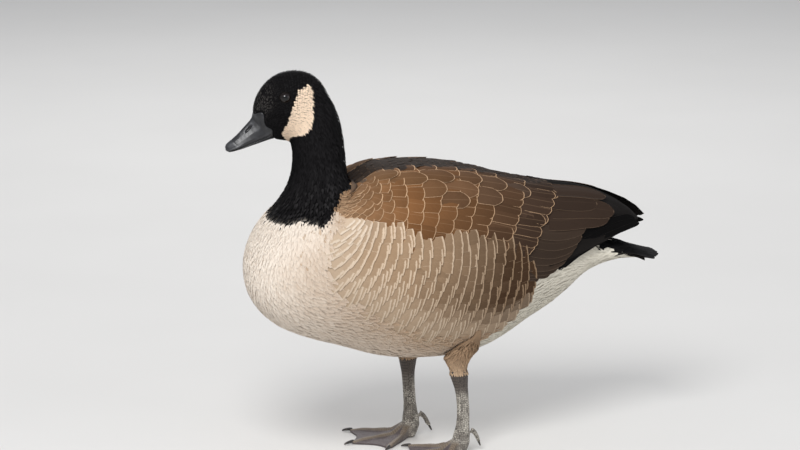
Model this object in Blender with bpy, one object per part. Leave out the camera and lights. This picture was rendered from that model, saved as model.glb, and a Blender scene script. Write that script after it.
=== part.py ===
"""Canada goose, a still life-size model of a standing adult.

Units are metres, +Z is up and the floor is z = 0. The bird faces -X, its left side is towards -Y,
and the origin is under the middle of its bounding box. Head, neck and trunk are one smooth loft
parted by thin cuts. The loft runs from the base of the bill, over the crown, down the neck and back
to the root of the tail. Each of its rings lies in a plane through the Y axis' direction and is given
by its highest point on the back line, its lowest point on the throat and belly line, and its width.
"""

import math

import bmesh
import bpy
import numpy as np
from mathutils import Matrix, Vector
from mathutils.bvhtree import BVHTree

# The drawing's own zero is below the hips. This shift brings the floor to z = 0 and the middle of
# the box over the origin.
FLOOR = -0.0050
CENTRE_SHIFT = Vector((-0.0665, 0.0, -FLOOR))
GAP = 0.0003
SIDES = {"left": -1.0, "right": 1.0}

# Each ring: back line x, z; belly line x, z; half width; where it is widest (-1 belly to 1 back);
# and its squareness, where 2 is an ellipse.
RINGS = {
    "bill_base": (-0.1970, 0.4480, -0.1710, 0.4165, 0.0145, 0.00, 2.2),
    "lores": (-0.1960, 0.4630, -0.1640, 0.4145, 0.0188, 0.00, 2.2),
    "forehead": (-0.1885, 0.4790, -0.1575, 0.4135, 0.0218, -0.02, 2.1),
    "brow": (-0.1755, 0.4945, -0.1525, 0.4125, 0.0243, -0.04, 2.1),
    "crown": (-0.1555, 0.5030, -0.1490, 0.4105, 0.0268, -0.08, 2.1),
    "hind_crown": (-0.1310, 0.5030, -0.1470, 0.4070, 0.0288, -0.08, 2.1),
    "occiput": (-0.1115, 0.4915, -0.1460, 0.4015, 0.0300, -0.06, 2.1),
    "nape": (-0.0970, 0.4690, -0.1455, 0.3945, 0.0308, 0.00, 2.1),
    "upper_neck": (-0.0855, 0.4420, -0.1455, 0.3860, 0.0312, 0.00, 2.1),
    "middle_neck": (-0.0790, 0.4080, -0.1465, 0.3730, 0.0325, 0.00, 2.1),
    "lower_neck": (-0.0765, 0.3780, -0.1515, 0.3550, 0.0370, 0.00, 2.1),
    "neck_root": (-0.0740, 0.3590, -0.1610, 0.3350, 0.0470, 0.00, 2.1),
    "collar": (-0.0690, 0.3570, -0.1755, 0.3130, 0.0610, -0.05, 2.1),
    "crop": (-0.0610, 0.3650, -0.1955, 0.2850, 0.0765, -0.08, 2.1),
    "breast": (-0.0500, 0.3725, -0.2080, 0.2500, 0.0890, -0.08, 2.1),
    "fore_keel": (-0.0360, 0.3775, -0.2030, 0.2100, 0.0990, -0.06, 2.1),
    "keel": (-0.0180, 0.3803, -0.1760, 0.1770, 0.1050, -0.04, 2.1),
    "fore_flank": (0.0060, 0.3803, -0.1350, 0.1570, 0.1085, -0.02, 2.15),
    "flank": (0.0350, 0.3782, -0.0910, 0.1430, 0.1095, 0.00, 2.2),
    "mid_flank": (0.0670, 0.3740, -0.0470, 0.1275, 0.1085, 0.00, 2.2),
    "belly": (0.0970, 0.3670, -0.0060, 0.1190, 0.1060, 0.02, 2.2),
    "hip": (0.1240, 0.3590, 0.0450, 0.1160, 0.1010, 0.04, 2.2),
    "hind_hip": (0.1510, 0.3505, 0.0900, 0.1190, 0.0930, 0.08, 2.2),
    "vent": (0.1800, 0.3420, 0.1290, 0.1320, 0.0820, 0.10, 2.15),
    "hind_vent": (0.2110, 0.3350, 0.1640, 0.1510, 0.0700, 0.12, 2.1),
    "rump": (0.2400, 0.3130, 0.2000, 0.1690, 0.0570, 0.12, 2.1),
    "croup": (0.2520, 0.2860, 0.2260, 0.1880, 0.0470, 0.10, 2.1),
    "tail_base": (0.2620, 0.2660, 0.2490, 0.2080, 0.0400, 0.05, 2.1),
    "under_tail": (0.2780, 0.2550, 0.2750, 0.2200, 0.0370, 0.00, 2.2),
    "tail_root": (0.3000, 0.2490, 0.3020, 0.2255, 0.0350, 0.00, 2.4),
}
RING_NAMES = list(RINGS)
RING_VALUES = np.array(list(RINGS.values()))

# Behind the hips the folded wings leave the trunk and run on over the rump to their tips.
WING_REAR_RINGS = {
    "tertials": (0.2500, 0.3280, 0.2050, 0.1900, 0.0610, 0.12, 2.1),
    "secondary_tips": (0.2820, 0.3160, 0.2500, 0.2150, 0.0500, 0.10, 2.1),
    "primaries": (0.3120, 0.3000, 0.2900, 0.2330, 0.0360, 0.05, 2.1),
    "wing_tip": (0.3340, 0.2820, 0.3230, 0.2500, 0.0230, 0.00, 2.1),
}
# The folded wing's lower edge in side view, x and z, from the shoulder to the tip.
WING_LOWER_EDGE = (
    (-0.120, 0.338), (-0.097, 0.322), (-0.060, 0.308), (-0.008, 0.284), (0.060, 0.286), (0.104, 0.282),
    (0.128, 0.268), (0.157, 0.234), (0.207, 0.239), (0.249, 0.250), (0.284, 0.262), (0.309, 0.268),
    (0.345, 0.276),
)
# The two wings lie this far from the middle plane over the rump, and more over the shoulders.
WING_UPPER_CLEARANCE = 0.0022
WING_SHOULDER_CLEARANCE = 0.0110
WING_THICKNESS = 0.0060
WING_RIM = 0.0015
WING_RIM_SLOPE = 0.030
# A ring's mean radius as a share of its half width.
RING_RADIUS_SHARE = 0.9
WING_SEAT = 0.0017
WING_RING_SPACING = 0.022
WING_FRONT_MARGIN = 0.4
WING_UPPER_MARGIN = 0.006
WING_SEAT_SLOPE = 0.015
WING_REACH = {"left": 0.006, "right": 0.026}
WING_TIP_DROOP = 0.15
WING_TIP_CLOSING = 0.75

HEAD_TURN = math.radians(8.0)
NECK_AXIS_X = -0.112
NECK_TOP = "nape"
NECK_ROOT = "collar"
NECK_ROOT_RISE = 0.35

EYE_PLACE = (-0.1590, 0.4715)
EYE_RADIUS = 0.0078
EYE_DEPTH = 0.0052

BILL_LENGTH_STEPS = 11
# Bill outlines in the head's side view, x and z, from the base to the tip.
CULMEN = ((-0.1970, 0.4480), (-0.2010, 0.4412), (-0.2105, 0.4312), (-0.2180, 0.4232),
          (-0.2262, 0.4164), (-0.2316, 0.4120))
CUTTING_EDGE = ((-0.1765, 0.4235), (-0.1860, 0.4196), (-0.1980, 0.4150), (-0.2090, 0.4110),
                (-0.2190, 0.4068), (-0.2290, 0.4026))
UNDER_BILL = ((-0.1712, 0.4168), (-0.1800, 0.4143), (-0.1910, 0.4109), (-0.2020, 0.4077),
              (-0.2120, 0.4047), (-0.2205, 0.4026))
BILL_HALF_WIDTHS = (0.0138, 0.0128, 0.0116, 0.0106, 0.0095, 0.0062)
LOWER_BILL_WIDTH = 0.86
# How far up a bill section its flat side reaches, and how narrow the ridge is against the sides.
BILL_FLAT = 0.16
BILL_RIDGE = 0.62
NAIL_LENGTH = 0.0022
NAIL_DROP = 0.35
NAIL_SIZE = 0.55

TAIL_TIP_X = 0.3640
TAIL_TIP_Z = 0.2245
TAIL_HALF_WIDTH = 0.042
TAIL_ROUNDING = 0.016
TAIL_EDGE = 0.0014
TAIL_SEAT = 0.0014
TAIL_TAPER = 1.6
TAIL_CROWN = 0.004

LEG_X = {"left": 0.0635, "right": 0.0365}
LEG_Y = 0.053
HOCK_LEAN = -0.0040
FOOT_TOP = 0.0140
HOCK_TOP = 0.1060
# Leg outline from the ankle up: height, half length fore and aft, half width.
LEG_PROFILE = (
    (FOOT_TOP, 0.0112, 0.0092), (0.0190, 0.0116, 0.0090), (0.0270, 0.0100, 0.0074),
    (0.0380, 0.0086, 0.0062), (0.0560, 0.0083, 0.0058), (0.0740, 0.0085, 0.0060),
    (0.0860, 0.0096, 0.0068), (0.0950, 0.0116, 0.0080), (0.1010, 0.0122, 0.0086),
    (HOCK_TOP, 0.0116, 0.0086),
)
SHANK_BOW = {"left": 0.0048, "right": -0.0006}
# Feathered thigh outline from the hock to the trunk: share of the way up, half length, half width,
# and how far its middle lies behind the leg's.
THIGH_PROFILE = ((0.0, 0.0112, 0.0088, 0.0), (0.22, 0.0134, 0.0110, 0.0002), (0.48, 0.0186, 0.0150, 0.0015),
                 (0.75, 0.0255, 0.0195, 0.0055), (1.0, 0.0320, 0.0235, 0.0100))
THIGH_CLEARANCE = 0.0014

TOE_OUT = math.radians(-7.0)
TOE_ANGLES = {"inner": math.radians(-38.0), "middle": 0.0, "outer": math.radians(43.0)}
TOE_LENGTHS = {"inner": 0.074, "middle": 0.089, "outer": 0.083}
WEB_SAG = 0.17
WEB_THICKNESS = 0.0022
TOE_HEIGHT = 0.0100
TOE_TIP_HEIGHT = 0.0052
TOE_HALF_WIDTH = 0.0052
HEEL_RADIUS = 0.0128
ANKLE_RADIUS = 0.0118
ANKLE_SLOPE = 0.0105
FOOT_RIM_SHARE = 0.72
FOOT_MARGIN = 0.16
CLAW_LENGTH = 0.0095
CLAW_RADIUS = 0.0026
CLAW_TIP_RADIUS = 0.0006
HIND_TOE_SEAT = 0.0129
HIND_TOE_RADIUS = 0.0040
HIND_TOE_TOP = 0.0245
# The hind toe's reach back, inwards and down, first to its bend and then to its end.
HIND_TOE_BEND = (0.0060, 0.0010, 0.0020)
HIND_TOE_END = (0.0125, 0.0040, 0.0175)
HIND_CLAW_LENGTH = 0.0060

COLOURS = {
    "black_plumage": ((0.012, 0.011, 0.012), 0.75),
    "body_plumage": ((0.45, 0.36, 0.27), 0.85),
    "wing_plumage": ((0.14, 0.085, 0.055), 0.80),
    "thigh_plumage": ((0.55, 0.42, 0.30), 0.85),
    "bill_horn": ((0.020, 0.020, 0.023), 0.38),
    "leg_skin": ((0.085, 0.075, 0.070), 0.60),
    "eye": ((0.020, 0.010, 0.006), 0.08),
}


def make_material(name):
    """A plain Principled material in one of the named colours."""
    colour, roughness = COLOURS[name]
    material = bpy.data.materials.get(name) or bpy.data.materials.new(name)
    material.use_nodes = True
    shader = material.node_tree.nodes["Principled BSDF"]
    shader.inputs["Base Color"].default_value = (*colour, 1.0)
    shader.inputs["Roughness"].default_value = roughness
    shader.inputs["Metallic"].default_value = 0.0
    return material


def smoothstep(value, low, high):
    """Goes smoothly from 0 at low to 1 at high."""
    t = min(max((value - low) / (high - low), 0.0), 1.0)
    return t * t * (3.0 - 2.0 * t)


def along(points, position):
    """A smooth curve through evenly numbered points, read at a fractional number."""
    points = np.asarray(points, dtype=float)
    last = len(points) - 1
    position = min(max(position, 0.0), float(last))
    i = min(int(position), last - 1)
    t = position - i
    before = points[i - 1] if i > 0 else 2.0 * points[i] - points[i + 1]
    after = points[i + 2] if i + 2 <= last else 2.0 * points[i + 1] - points[i]
    a, b = points[i], points[i + 1]
    slope_a, slope_b = (b - before) / 2.0, (after - a) / 2.0
    return ((2 * t**3 - 3 * t**2 + 1) * a + (t**3 - 2 * t**2 + t) * slope_a
            + (3 * t**2 - 2 * t**3) * b + (t**3 - t**2) * slope_b)


def station(name):
    """The number of a ring, by its name."""
    return float(RING_NAMES.index(name))


def ring_point(values, angle):
    """The point of a ring at an angle from its back line, positive towards the left side."""
    back_x, back_z, belly_x, belly_z, half_width, widest, squareness = values
    power = 2.0 / squareness
    cos_a, sin_a = math.cos(angle), math.sin(angle)
    rise = math.copysign(abs(cos_a) ** power, cos_a)
    side = math.copysign(abs(sin_a) ** power, sin_a)
    rise += widest * (1.0 - rise * rise)
    x = (back_x + belly_x) / 2.0 + (back_x - belly_x) / 2.0 * rise
    z = (back_z + belly_z) / 2.0 + (back_z - belly_z) / 2.0 * rise
    return Vector((x, -half_width * side, z))


def turn_head(point, position):
    """Turns the head and upper neck a little to the bird's right."""
    share = 1.0 - smoothstep(position, station("upper_neck"), station("neck_root"))
    axis = Vector((NECK_AXIS_X, 0.0, 0.0))
    return Matrix.Rotation(-HEAD_TURN * share, 3, "Z") @ (point - axis) + axis


def body_point(position, angle):
    """A point of the loft of head, neck and trunk."""
    return turn_head(ring_point(along(RING_VALUES, position), angle), position)


def wing_values(position):
    """The ring that the folded wings follow: the trunk's, and their own behind the vent."""
    start = RING_NAMES.index("collar")
    end = RING_NAMES.index("hind_vent")
    table = np.vstack([RING_VALUES[start:end + 1], np.array(list(WING_REAR_RINGS.values()))])
    return along(table, position - start)


WING_FRONT = station("crop") + 0.6
WING_BACK = station("hind_vent") + len(WING_REAR_RINGS)


def wing_lower_height(x):
    """Height of the folded wing's lower edge at x."""
    edge = np.array(WING_LOWER_EDGE)
    return float(np.interp(x, edge[:, 0], edge[:, 1]))


def wing_angles(position):
    """The angles of the folded wing's upper and lower edges on its ring."""
    values = wing_values(position)
    low, high = 0.0, 0.8 * math.pi
    for _ in range(30):
        middle = (low + high) / 2.0
        point = ring_point(values, middle)
        if point.z > wing_lower_height(point.x):
            low = middle
        else:
            high = middle
    lower = low
    forward = 1.0 - smoothstep(position, WING_FRONT, station("hip"))
    upper_y = WING_UPPER_CLEARANCE + WING_SHOULDER_CLEARANCE * forward
    return math.asin((upper_y / values[4]) ** (values[6] / 2.0)), lower


def wing_depth(inside):
    """Thickness of the wing at a distance inside its rim."""
    return WING_RIM + (WING_THICKNESS - WING_RIM) * smoothstep(inside, 0.0, WING_RIM_SLOPE)


def inside_wing(position, angle):
    """About how far a point of the loft lies inside the folded wing's rim; negative is outside."""
    upper, lower = wing_angles(max(position, WING_FRONT))
    angle = math.remainder(angle, 2.0 * math.pi)
    radius = RING_RADIUS_SHARE * wing_values(max(position, WING_FRONT))[4]
    behind_front = (position - WING_FRONT + WING_FRONT_MARGIN) * WING_RING_SPACING
    below_upper = (abs(angle) - upper) * radius + WING_UPPER_MARGIN
    return min(below_upper, (lower - abs(angle)) * radius, behind_front)


def inward(values, angle):
    """Unit direction from a ring's point towards its inside."""
    step = 1e-3
    tangent = ring_point(values, angle + step) - ring_point(values, angle - step)
    axis = Vector((values[0] - values[2], 0.0, values[1] - values[3])).normalized()
    across = axis.cross(Vector((0.0, 1.0, 0.0)))
    direction = tangent.cross(across).normalized()
    centre = Vector(((values[0] + values[2]) / 2.0, 0.0, (values[1] + values[3]) / 2.0))
    point = ring_point(values, angle)
    return direction if direction.dot(centre - point) > 0.0 else -direction


def trunk_point(position, angle):
    """A point of the trunk, which is let in under the folded wings."""
    values = along(RING_VALUES, position)
    point = body_point(position, angle)
    if position <= WING_FRONT - 1.0 or position > station("croup"):
        return point
    inside = inside_wing(position, angle)
    seat = wing_depth(inside) + WING_SEAT
    recess = seat * smoothstep(inside, -WING_SEAT_SLOPE, -WING_SEAT_SLOPE / 5.0)
    return point + inward(values, angle) * recess


def new_object(name, mesh_data, material):
    """A named object from a bmesh, centred on the part's origin."""
    bmesh.ops.recalc_face_normals(mesh_data, faces=mesh_data.faces)
    if mesh_data.calc_volume(signed=True) < 0.0:
        bmesh.ops.reverse_faces(mesh_data, faces=mesh_data.faces)
    bmesh.ops.translate(mesh_data, verts=mesh_data.verts, vec=CENTRE_SHIFT)
    mesh = bpy.data.meshes.new(name)
    mesh_data.to_mesh(mesh)
    mesh_data.free()
    mesh.shade_smooth()
    mesh.set_sharp_from_angle(angle=math.radians(45.0))
    mesh.materials.append(make_material(material))
    obj = bpy.data.objects.new(name, mesh)
    bpy.context.scene.collection.objects.link(obj)
    return obj


def loft(rings):
    """A closed solid through rings of equal count, with a fan over each end."""
    shape = bmesh.new()
    rows = [[shape.verts.new(point) for point in ring] for ring in rings]
    count = len(rows[0])
    for low, high in zip(rows, rows[1:]):
        for i in range(count):
            j = (i + 1) % count
            shape.faces.new((low[i], low[j], high[j], high[i]))
    for row in (rows[0], rows[-1]):
        middle = sum((v.co for v in row), Vector()) / count
        centre = shape.verts.new(middle)
        for i in range(count):
            shape.faces.new((row[i], row[(i + 1) % count], centre))
    return shape


def slab(outer, inner):
    """A closed solid between two grids of points of the same size."""
    shape = bmesh.new()
    tops = [[shape.verts.new(point) for point in row] for row in outer]
    bottoms = [[shape.verts.new(point) for point in row] for row in inner]
    rows, columns = len(outer), len(outer[0])
    for grid in (tops, bottoms):
        for i in range(rows - 1):
            for j in range(columns - 1):
                shape.faces.new((grid[i][j], grid[i + 1][j], grid[i + 1][j + 1], grid[i][j + 1]))
    rim = [(i, 0) for i in range(rows)] + [(rows - 1, j) for j in range(1, columns)]
    rim += [(i, columns - 1) for i in range(rows - 2, -1, -1)] + [(0, j) for j in range(columns - 2, 0, -1)]
    for (i, j), (k, m) in zip(rim, rim[1:] + rim[:1]):
        shape.faces.new((tops[i][j], tops[k][m], bottoms[k][m], bottoms[i][j]))
    return shape


def parted(ring, next_ring):
    """A flat ring moved half a cut's width out of its plane, towards the next ring's belly line."""
    count = len(ring)
    lowest = count // 2
    normal = (ring[0] - ring[lowest]).cross(ring[count // 4] - ring[3 * count // 4]).normalized()
    side = math.copysign(0.55 * GAP, normal.dot(next_ring[lowest] - ring[lowest]))
    return [point + normal * side for point in ring]


def ring_angles(count):
    """Evenly spaced angles round a ring."""
    return [2.0 * math.pi * i / count for i in range(count)]


def between(start, end, count):
    """Evenly spaced numbers from start to end, both included."""
    return [start + (end - start) * i / (count - 1) for i in range(count)]


def make_trunk():
    """The trunk, from the root of the neck to the root of the tail."""
    angles = ring_angles(34)
    positions = between(station(NECK_ROOT) - NECK_ROOT_RISE, station("tail_root"), 32)
    rings = [[trunk_point(position, angle) for angle in angles] for position in positions]
    rings[0] = parted(rings[0], rings[1])
    return new_object("trunk", loft(rings), "body_plumage")


def make_neck():
    """The neck, between two thin cuts."""
    angles = ring_angles(28)
    positions = between(station(NECK_TOP), station(NECK_ROOT) - NECK_ROOT_RISE, 13)
    rings = [[body_point(position, angle) for angle in angles] for position in positions]
    rings[0] = parted(rings[0], rings[1])
    rings[-1] = parted(rings[-1], rings[-2])
    return new_object("neck", loft(rings), "black_plumage")


def head_frame(side):
    """Where an eyeball's middle sits in the head, and the direction it looks."""
    x, z = EYE_PLACE
    sign = SIDES[side]
    surface = None
    for position in between(station("forehead"), station("occiput"), 60):
        for angle in between(0.3, 2.0, 60):
            point = ring_point(along(RING_VALUES, position), angle)
            miss = math.hypot(point.x - x, point.z - z)
            if surface is None or miss < surface[0]:
                surface = (miss, point)
    point = surface[1]
    middle = Vector((point.x, sign * (abs(point.y) - EYE_DEPTH), point.z))
    return turn_head(middle, 0.0)


def ball(middle, radius, rows, columns):
    """A closed ball of rings round the Y direction."""
    rings = []
    for i in range(1, rows):
        tilt = math.pi * i / rows
        y, r = -math.cos(tilt) * radius, math.sin(tilt) * radius
        rings.append([middle + Vector((math.cos(a) * r, y, math.sin(a) * r)) for a in ring_angles(columns)])
    shape = loft(rings)
    shape.verts.ensure_lookup_table()
    near, far = shape.verts[-2], shape.verts[-1]
    near.co = middle - Vector((0.0, radius, 0.0))
    far.co = middle + Vector((0.0, radius, 0.0))
    return shape


def make_head_and_eyes():
    """The feathered head with a socket cut for each eyeball, and the two eyeballs."""
    angles = ring_angles(30)
    positions = between(station("bill_base"), station(NECK_TOP), 16)
    rings = [[body_point(position, angle) for angle in angles] for position in positions]
    rings[0] = parted(rings[0], rings[1])
    rings[-1] = parted(rings[-1], rings[-2])
    head = new_object("head", loft(rings), "black_plumage")
    for side in SIDES:
        middle = head_frame(side)
        new_object(f"eye_{side}", ball(middle, EYE_RADIUS, 7, 12), "eye")
        cutter = new_object(f"socket_{side}", ball(middle, EYE_RADIUS + 0.0004, 7, 12), "eye")
        cutter.hide_render = True
        cutter.display_type = "WIRE"
        cut = head.modifiers.new(f"socket_{side}", "BOOLEAN")
        cut.operation = "DIFFERENCE"
        cut.object = cutter
    return head


def bill_section(step, upper):
    """One cross-section of the upper or lower bill, as a ring of points in the head's frame."""
    t = step * (len(CULMEN) - 1)
    top = along(CULMEN, t) if upper else along(CUTTING_EDGE, t) - (0.0, GAP * 1.3)
    bottom = along(CUTTING_EDGE, t) if upper else along(UNDER_BILL, t)
    half = float(along(np.array(BILL_HALF_WIDTHS)[:, None], t)[0]) * (1.0 if upper else LOWER_BILL_WIDTH)
    points = []
    for angle in ring_angles(16):
        cos_a, sin_a = math.cos(angle), math.sin(angle)
        if upper:
            # A narrow ridge above, full sides, and a flat bite below.
            rise = max(cos_a + BILL_FLAT, 0.0) / (1.0 + BILL_FLAT)
            width = half * sin_a * (1.0 - (1.0 - BILL_RIDGE) * max(cos_a, 0.0))
        else:
            rise = 1.0 - max(BILL_FLAT - cos_a, 0.0) / (1.0 + BILL_FLAT)
            width = half * sin_a
        line = bottom + (top - bottom) * rise
        points.append(Vector((line[0], -width, line[1])))
    return points


def make_bill():
    """Upper and lower bill, each a closed loft that ends in the rounded nail."""
    for name, upper in (("bill_upper", True), ("bill_lower", False)):
        rings = []
        for step in between(0.0, 1.0, BILL_LENGTH_STEPS):
            rings.append([turn_head(point, 0.0) for point in bill_section(step, upper)])
        tip = rings[-1]
        middle = sum(tip, Vector()) / len(tip)
        ahead = Vector((-math.cos(HEAD_TURN), math.sin(HEAD_TURN), -NAIL_DROP)) * NAIL_LENGTH
        rings.append([middle + (point - middle) * NAIL_SIZE + ahead for point in tip])
        rings[0] = [point + Vector((-GAP, 0.0, 0.0)) for point in rings[0]]
        new_object(name, loft(rings), "bill_horn")


def make_wing(side):
    """A folded wing: a shell over the trunk that runs on behind it to the tips of the primaries."""
    sign = -SIDES[side]
    reach = WING_REACH[side]
    outer, inner = [], []
    for position in between(WING_FRONT, WING_BACK, 23):
        values = wing_values(position)
        upper, lower = wing_angles(position)
        stretch = reach * smoothstep(position, station("vent"), WING_BACK)
        shift = Vector((stretch, 0.0, -WING_TIP_DROOP * stretch))
        closing = 1.0 - WING_TIP_CLOSING * smoothstep(position, WING_BACK - 1.0, WING_BACK)
        middle = (upper + lower) / 2.0
        outer_row, inner_row = [], []
        for share in between(0.0, 1.0, 10):
            angle = upper + (lower - upper) * share
            angle = middle + (angle - middle) * closing
            front = (position - WING_FRONT) * WING_RING_SPACING
            radius = RING_RADIUS_SHARE * values[4]
            rim = min((angle - upper) * radius, (lower - angle) * radius, front) if closing == 1.0 else 0.0
            depth = wing_depth(max(rim, 0.0))
            for row, deep in ((outer_row, 0.0), (inner_row, depth)):
                point = ring_point(values, angle) + inward(values, angle) * deep + shift
                row.append(Vector((point.x, point.y * sign, point.z)))
        outer.append(outer_row)
        inner.append(inner_row)
    return new_object(f"wing_{side}", slab(outer, inner), "wing_plumage")


def make_tail():
    """The folded tail, a thin fan behind the tail's root."""
    root = along(RING_VALUES, station("tail_root"))
    start_x, start_z = (root[0] + root[2]) / 2.0 + TAIL_SEAT, (root[1] + root[3]) / 2.0
    half_height = (root[1] - root[3]) / 2.0
    top, bottom = [], []
    for t in between(0.0, 1.0, 7):
        half_width = root[4] + (TAIL_HALF_WIDTH - root[4]) * math.sqrt(t)
        height = TAIL_EDGE / 2.0 + (half_height - TAIL_EDGE / 2.0) * (1.0 - t) ** TAIL_TAPER
        z = start_z + (TAIL_TIP_Z - start_z) * t
        upper_row, lower_row = [], []
        for share in between(-1.0, 1.0, 13):
            length = (TAIL_TIP_X - start_x) - TAIL_ROUNDING * share * share
            body = math.sqrt(max(1.0 - (abs(share) * 0.97) ** 2.4, 0.0))
            crown = TAIL_CROWN * (1.0 - share * share) * t
            x = start_x + length * t
            y = half_width * share
            thick = max(height * body, TAIL_EDGE / 2.0)
            upper_row.append(Vector((x, y, z + thick + crown)))
            lower_row.append(Vector((x, y, z - thick + crown)))
        top.append(upper_row)
        bottom.append(lower_row)
    return new_object("tail", slab(top, bottom), "black_plumage")


def leg_ring(side, height, half_length, half_width, count):
    """An oval section of a leg at a height."""
    lean = HOCK_LEAN * smoothstep(height, FOOT_TOP, HOCK_TOP)
    share = min(max((height - FOOT_TOP) / (HOCK_TOP - FOOT_TOP), 0.0), 1.0)
    bow = SHANK_BOW[side] * math.sin(math.pi * share)
    middle = Vector((LEG_X[side] + lean + bow, SIDES[side] * LEG_Y, height))
    return [middle + Vector((math.cos(a) * half_length, math.sin(a) * half_width, 0.0))
            for a in ring_angles(count)]


def make_leg(side):
    """The bare leg from the ankle to the hock."""
    last = len(LEG_PROFILE) - 1
    rings = []
    for t in between(0.0, float(last), 12):
        height, half_length, half_width = along(LEG_PROFILE, t)
        rings.append(leg_ring(side, height, half_length, half_width, 12))
    return new_object(f"leg_{side}", loft(rings), "leg_skin")


def make_thigh(side, trunk_tree):
    """The feathered lower thigh. Its top follows the underside of the trunk."""
    def under_side(point):
        start = Vector((point.x, point.y, 0.0)) + CENTRE_SHIFT
        return trunk_tree.ray_cast(start, Vector((0.0, 0.0, 1.0)))[0].z - CENTRE_SHIFT.z - THIGH_CLEARANCE

    def outline(half_length, half_width, behind):
        ring = leg_ring(side, HOCK_TOP, half_length, half_width, 16)
        return [point + Vector((behind, 0.0, GAP)) for point in ring]

    crown = outline(*THIGH_PROFILE[-1][1:])
    heights = [under_side(point) - HOCK_TOP - GAP for point in crown]
    rings = []
    for t in between(0.0, float(len(THIGH_PROFILE) - 1), 6):
        share, half_length, half_width, behind = along(THIGH_PROFILE, t)
        ring = outline(half_length, half_width, behind)
        rings.append([point + Vector((0.0, 0.0, height * share)) for point, height in zip(ring, heights)])
    middle = sum(crown, Vector()) / len(crown)
    for share in (0.72, 0.40):
        ring = [middle + (point - middle) * share for point in crown]
        rings.append([Vector((point.x, point.y, under_side(point))) for point in ring])
    shape = loft(rings)
    shape.verts.ensure_lookup_table()
    shape.verts[-1].co.z = under_side(shape.verts[-1].co)
    return new_object(f"thigh_{side}", shape, "thigh_plumage")


def foot_edge(turn):
    """How far the foot reaches from the ankle in a direction, and how near a toe that direction is."""
    names = list(TOE_ANGLES)
    angles = [TOE_ANGLES[name] for name in names]
    lengths = [TOE_LENGTHS[name] for name in names]
    if turn <= angles[0] or turn >= angles[-1]:
        end = 0 if turn <= angles[0] else -1
        beyond = abs(turn - angles[end])
        drop = smoothstep(beyond, FOOT_MARGIN / 8.0, FOOT_MARGIN)
        return lengths[end] * (1.0 - drop) ** 2 + HEEL_RADIUS * (1.0 - (1.0 - drop) ** 2)
    i = 0 if turn < angles[1] else 1
    share = (turn - angles[i]) / (angles[i + 1] - angles[i])
    straight = lengths[i] * (1.0 - share) + lengths[i + 1] * share
    return straight * (1.0 - WEB_SAG * math.sin(math.pi * share))


def foot_height(turn, distance):
    """Height of the foot's upper side over the floor: web, toes and the swelling under the ankle."""
    toe = 0.0
    for name, toe_angle in TOE_ANGLES.items():
        off = distance * math.sin(min(abs(turn - toe_angle), math.pi / 2.0))
        run = min(distance / TOE_LENGTHS[name], 1.0)
        height = TOE_HEIGHT + (TOE_TIP_HEIGHT - TOE_HEIGHT) * run
        toe = max(toe, (height - WEB_THICKNESS) * math.exp(-(off / TOE_HALF_WIDTH) ** 2))
    fall = math.exp(-max(distance - ANKLE_RADIUS, 0.0) / ANKLE_SLOPE)
    ankle = (FOOT_TOP - FLOOR - WEB_THICKNESS - GAP) * fall
    return WEB_THICKNESS + max(toe, ankle)


def foot_directions():
    """Directions of the foot's spokes, closer together over the toes and the web."""
    front = between(TOE_ANGLES["inner"] - FOOT_MARGIN, TOE_ANGLES["outer"] + FOOT_MARGIN, 29)
    back = between(front[-1], front[0] + 2.0 * math.pi, 9)[1:-1]
    return front + back


def foot_place(side, turn, distance, height):
    """A point of a foot, from its direction and distance from the ankle and its height over the floor."""
    sign = SIDES[side]
    heading = TOE_OUT + turn
    return Vector((LEG_X[side] - math.cos(heading) * distance,
                   sign * (LEG_Y + math.sin(heading) * distance), FLOOR + height))


def make_foot(side):
    """The webbed foot, with a flat sole on the floor."""
    directions = foot_directions()
    plateau = FOOT_TOP - FLOOR - GAP
    rings = [[foot_place(side, turn, foot_edge(turn), 0.0) for turn in directions]]
    for share in (1.0, 0.82, 0.52, 0.24, 0.0):
        ring = []
        for turn in directions:
            distance = ANKLE_RADIUS + (foot_edge(turn) - ANKLE_RADIUS) * share
            wrapped = math.remainder(turn, 2.0 * math.pi)
            height = plateau if share == 0.0 else foot_height(wrapped, distance)
            if share == 1.0:
                height *= FOOT_RIM_SHARE
            ring.append(foot_place(side, turn, distance, min(height, plateau)))
        rings.append(ring)
    return new_object(f"foot_{side}", loft(rings), "leg_skin")


def horn(start, knee, end, radius, tip_radius, rows=4, count=6):
    """A tapered solid along the curve from start to end that leaves towards knee, such as a claw."""
    rings = []
    for t in between(0.0, 1.0, rows):
        middle = start * (1.0 - t) ** 2 + knee * (2.0 * t * (1.0 - t)) + end * t * t
        ahead = ((knee - start) * (1.0 - t) + (end - knee) * t).normalized()
        side_way = ahead.cross(Vector((0.0, 0.0, 1.0))).normalized()
        up_way = side_way.cross(ahead).normalized()
        size = tip_radius + (radius - tip_radius) * (1.0 - t) ** 0.8
        rings.append([middle + side_way * (math.cos(a) * size * 0.8) + up_way * (math.sin(a) * size)
                      for a in ring_angles(count)])
    return loft(rings)


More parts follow.
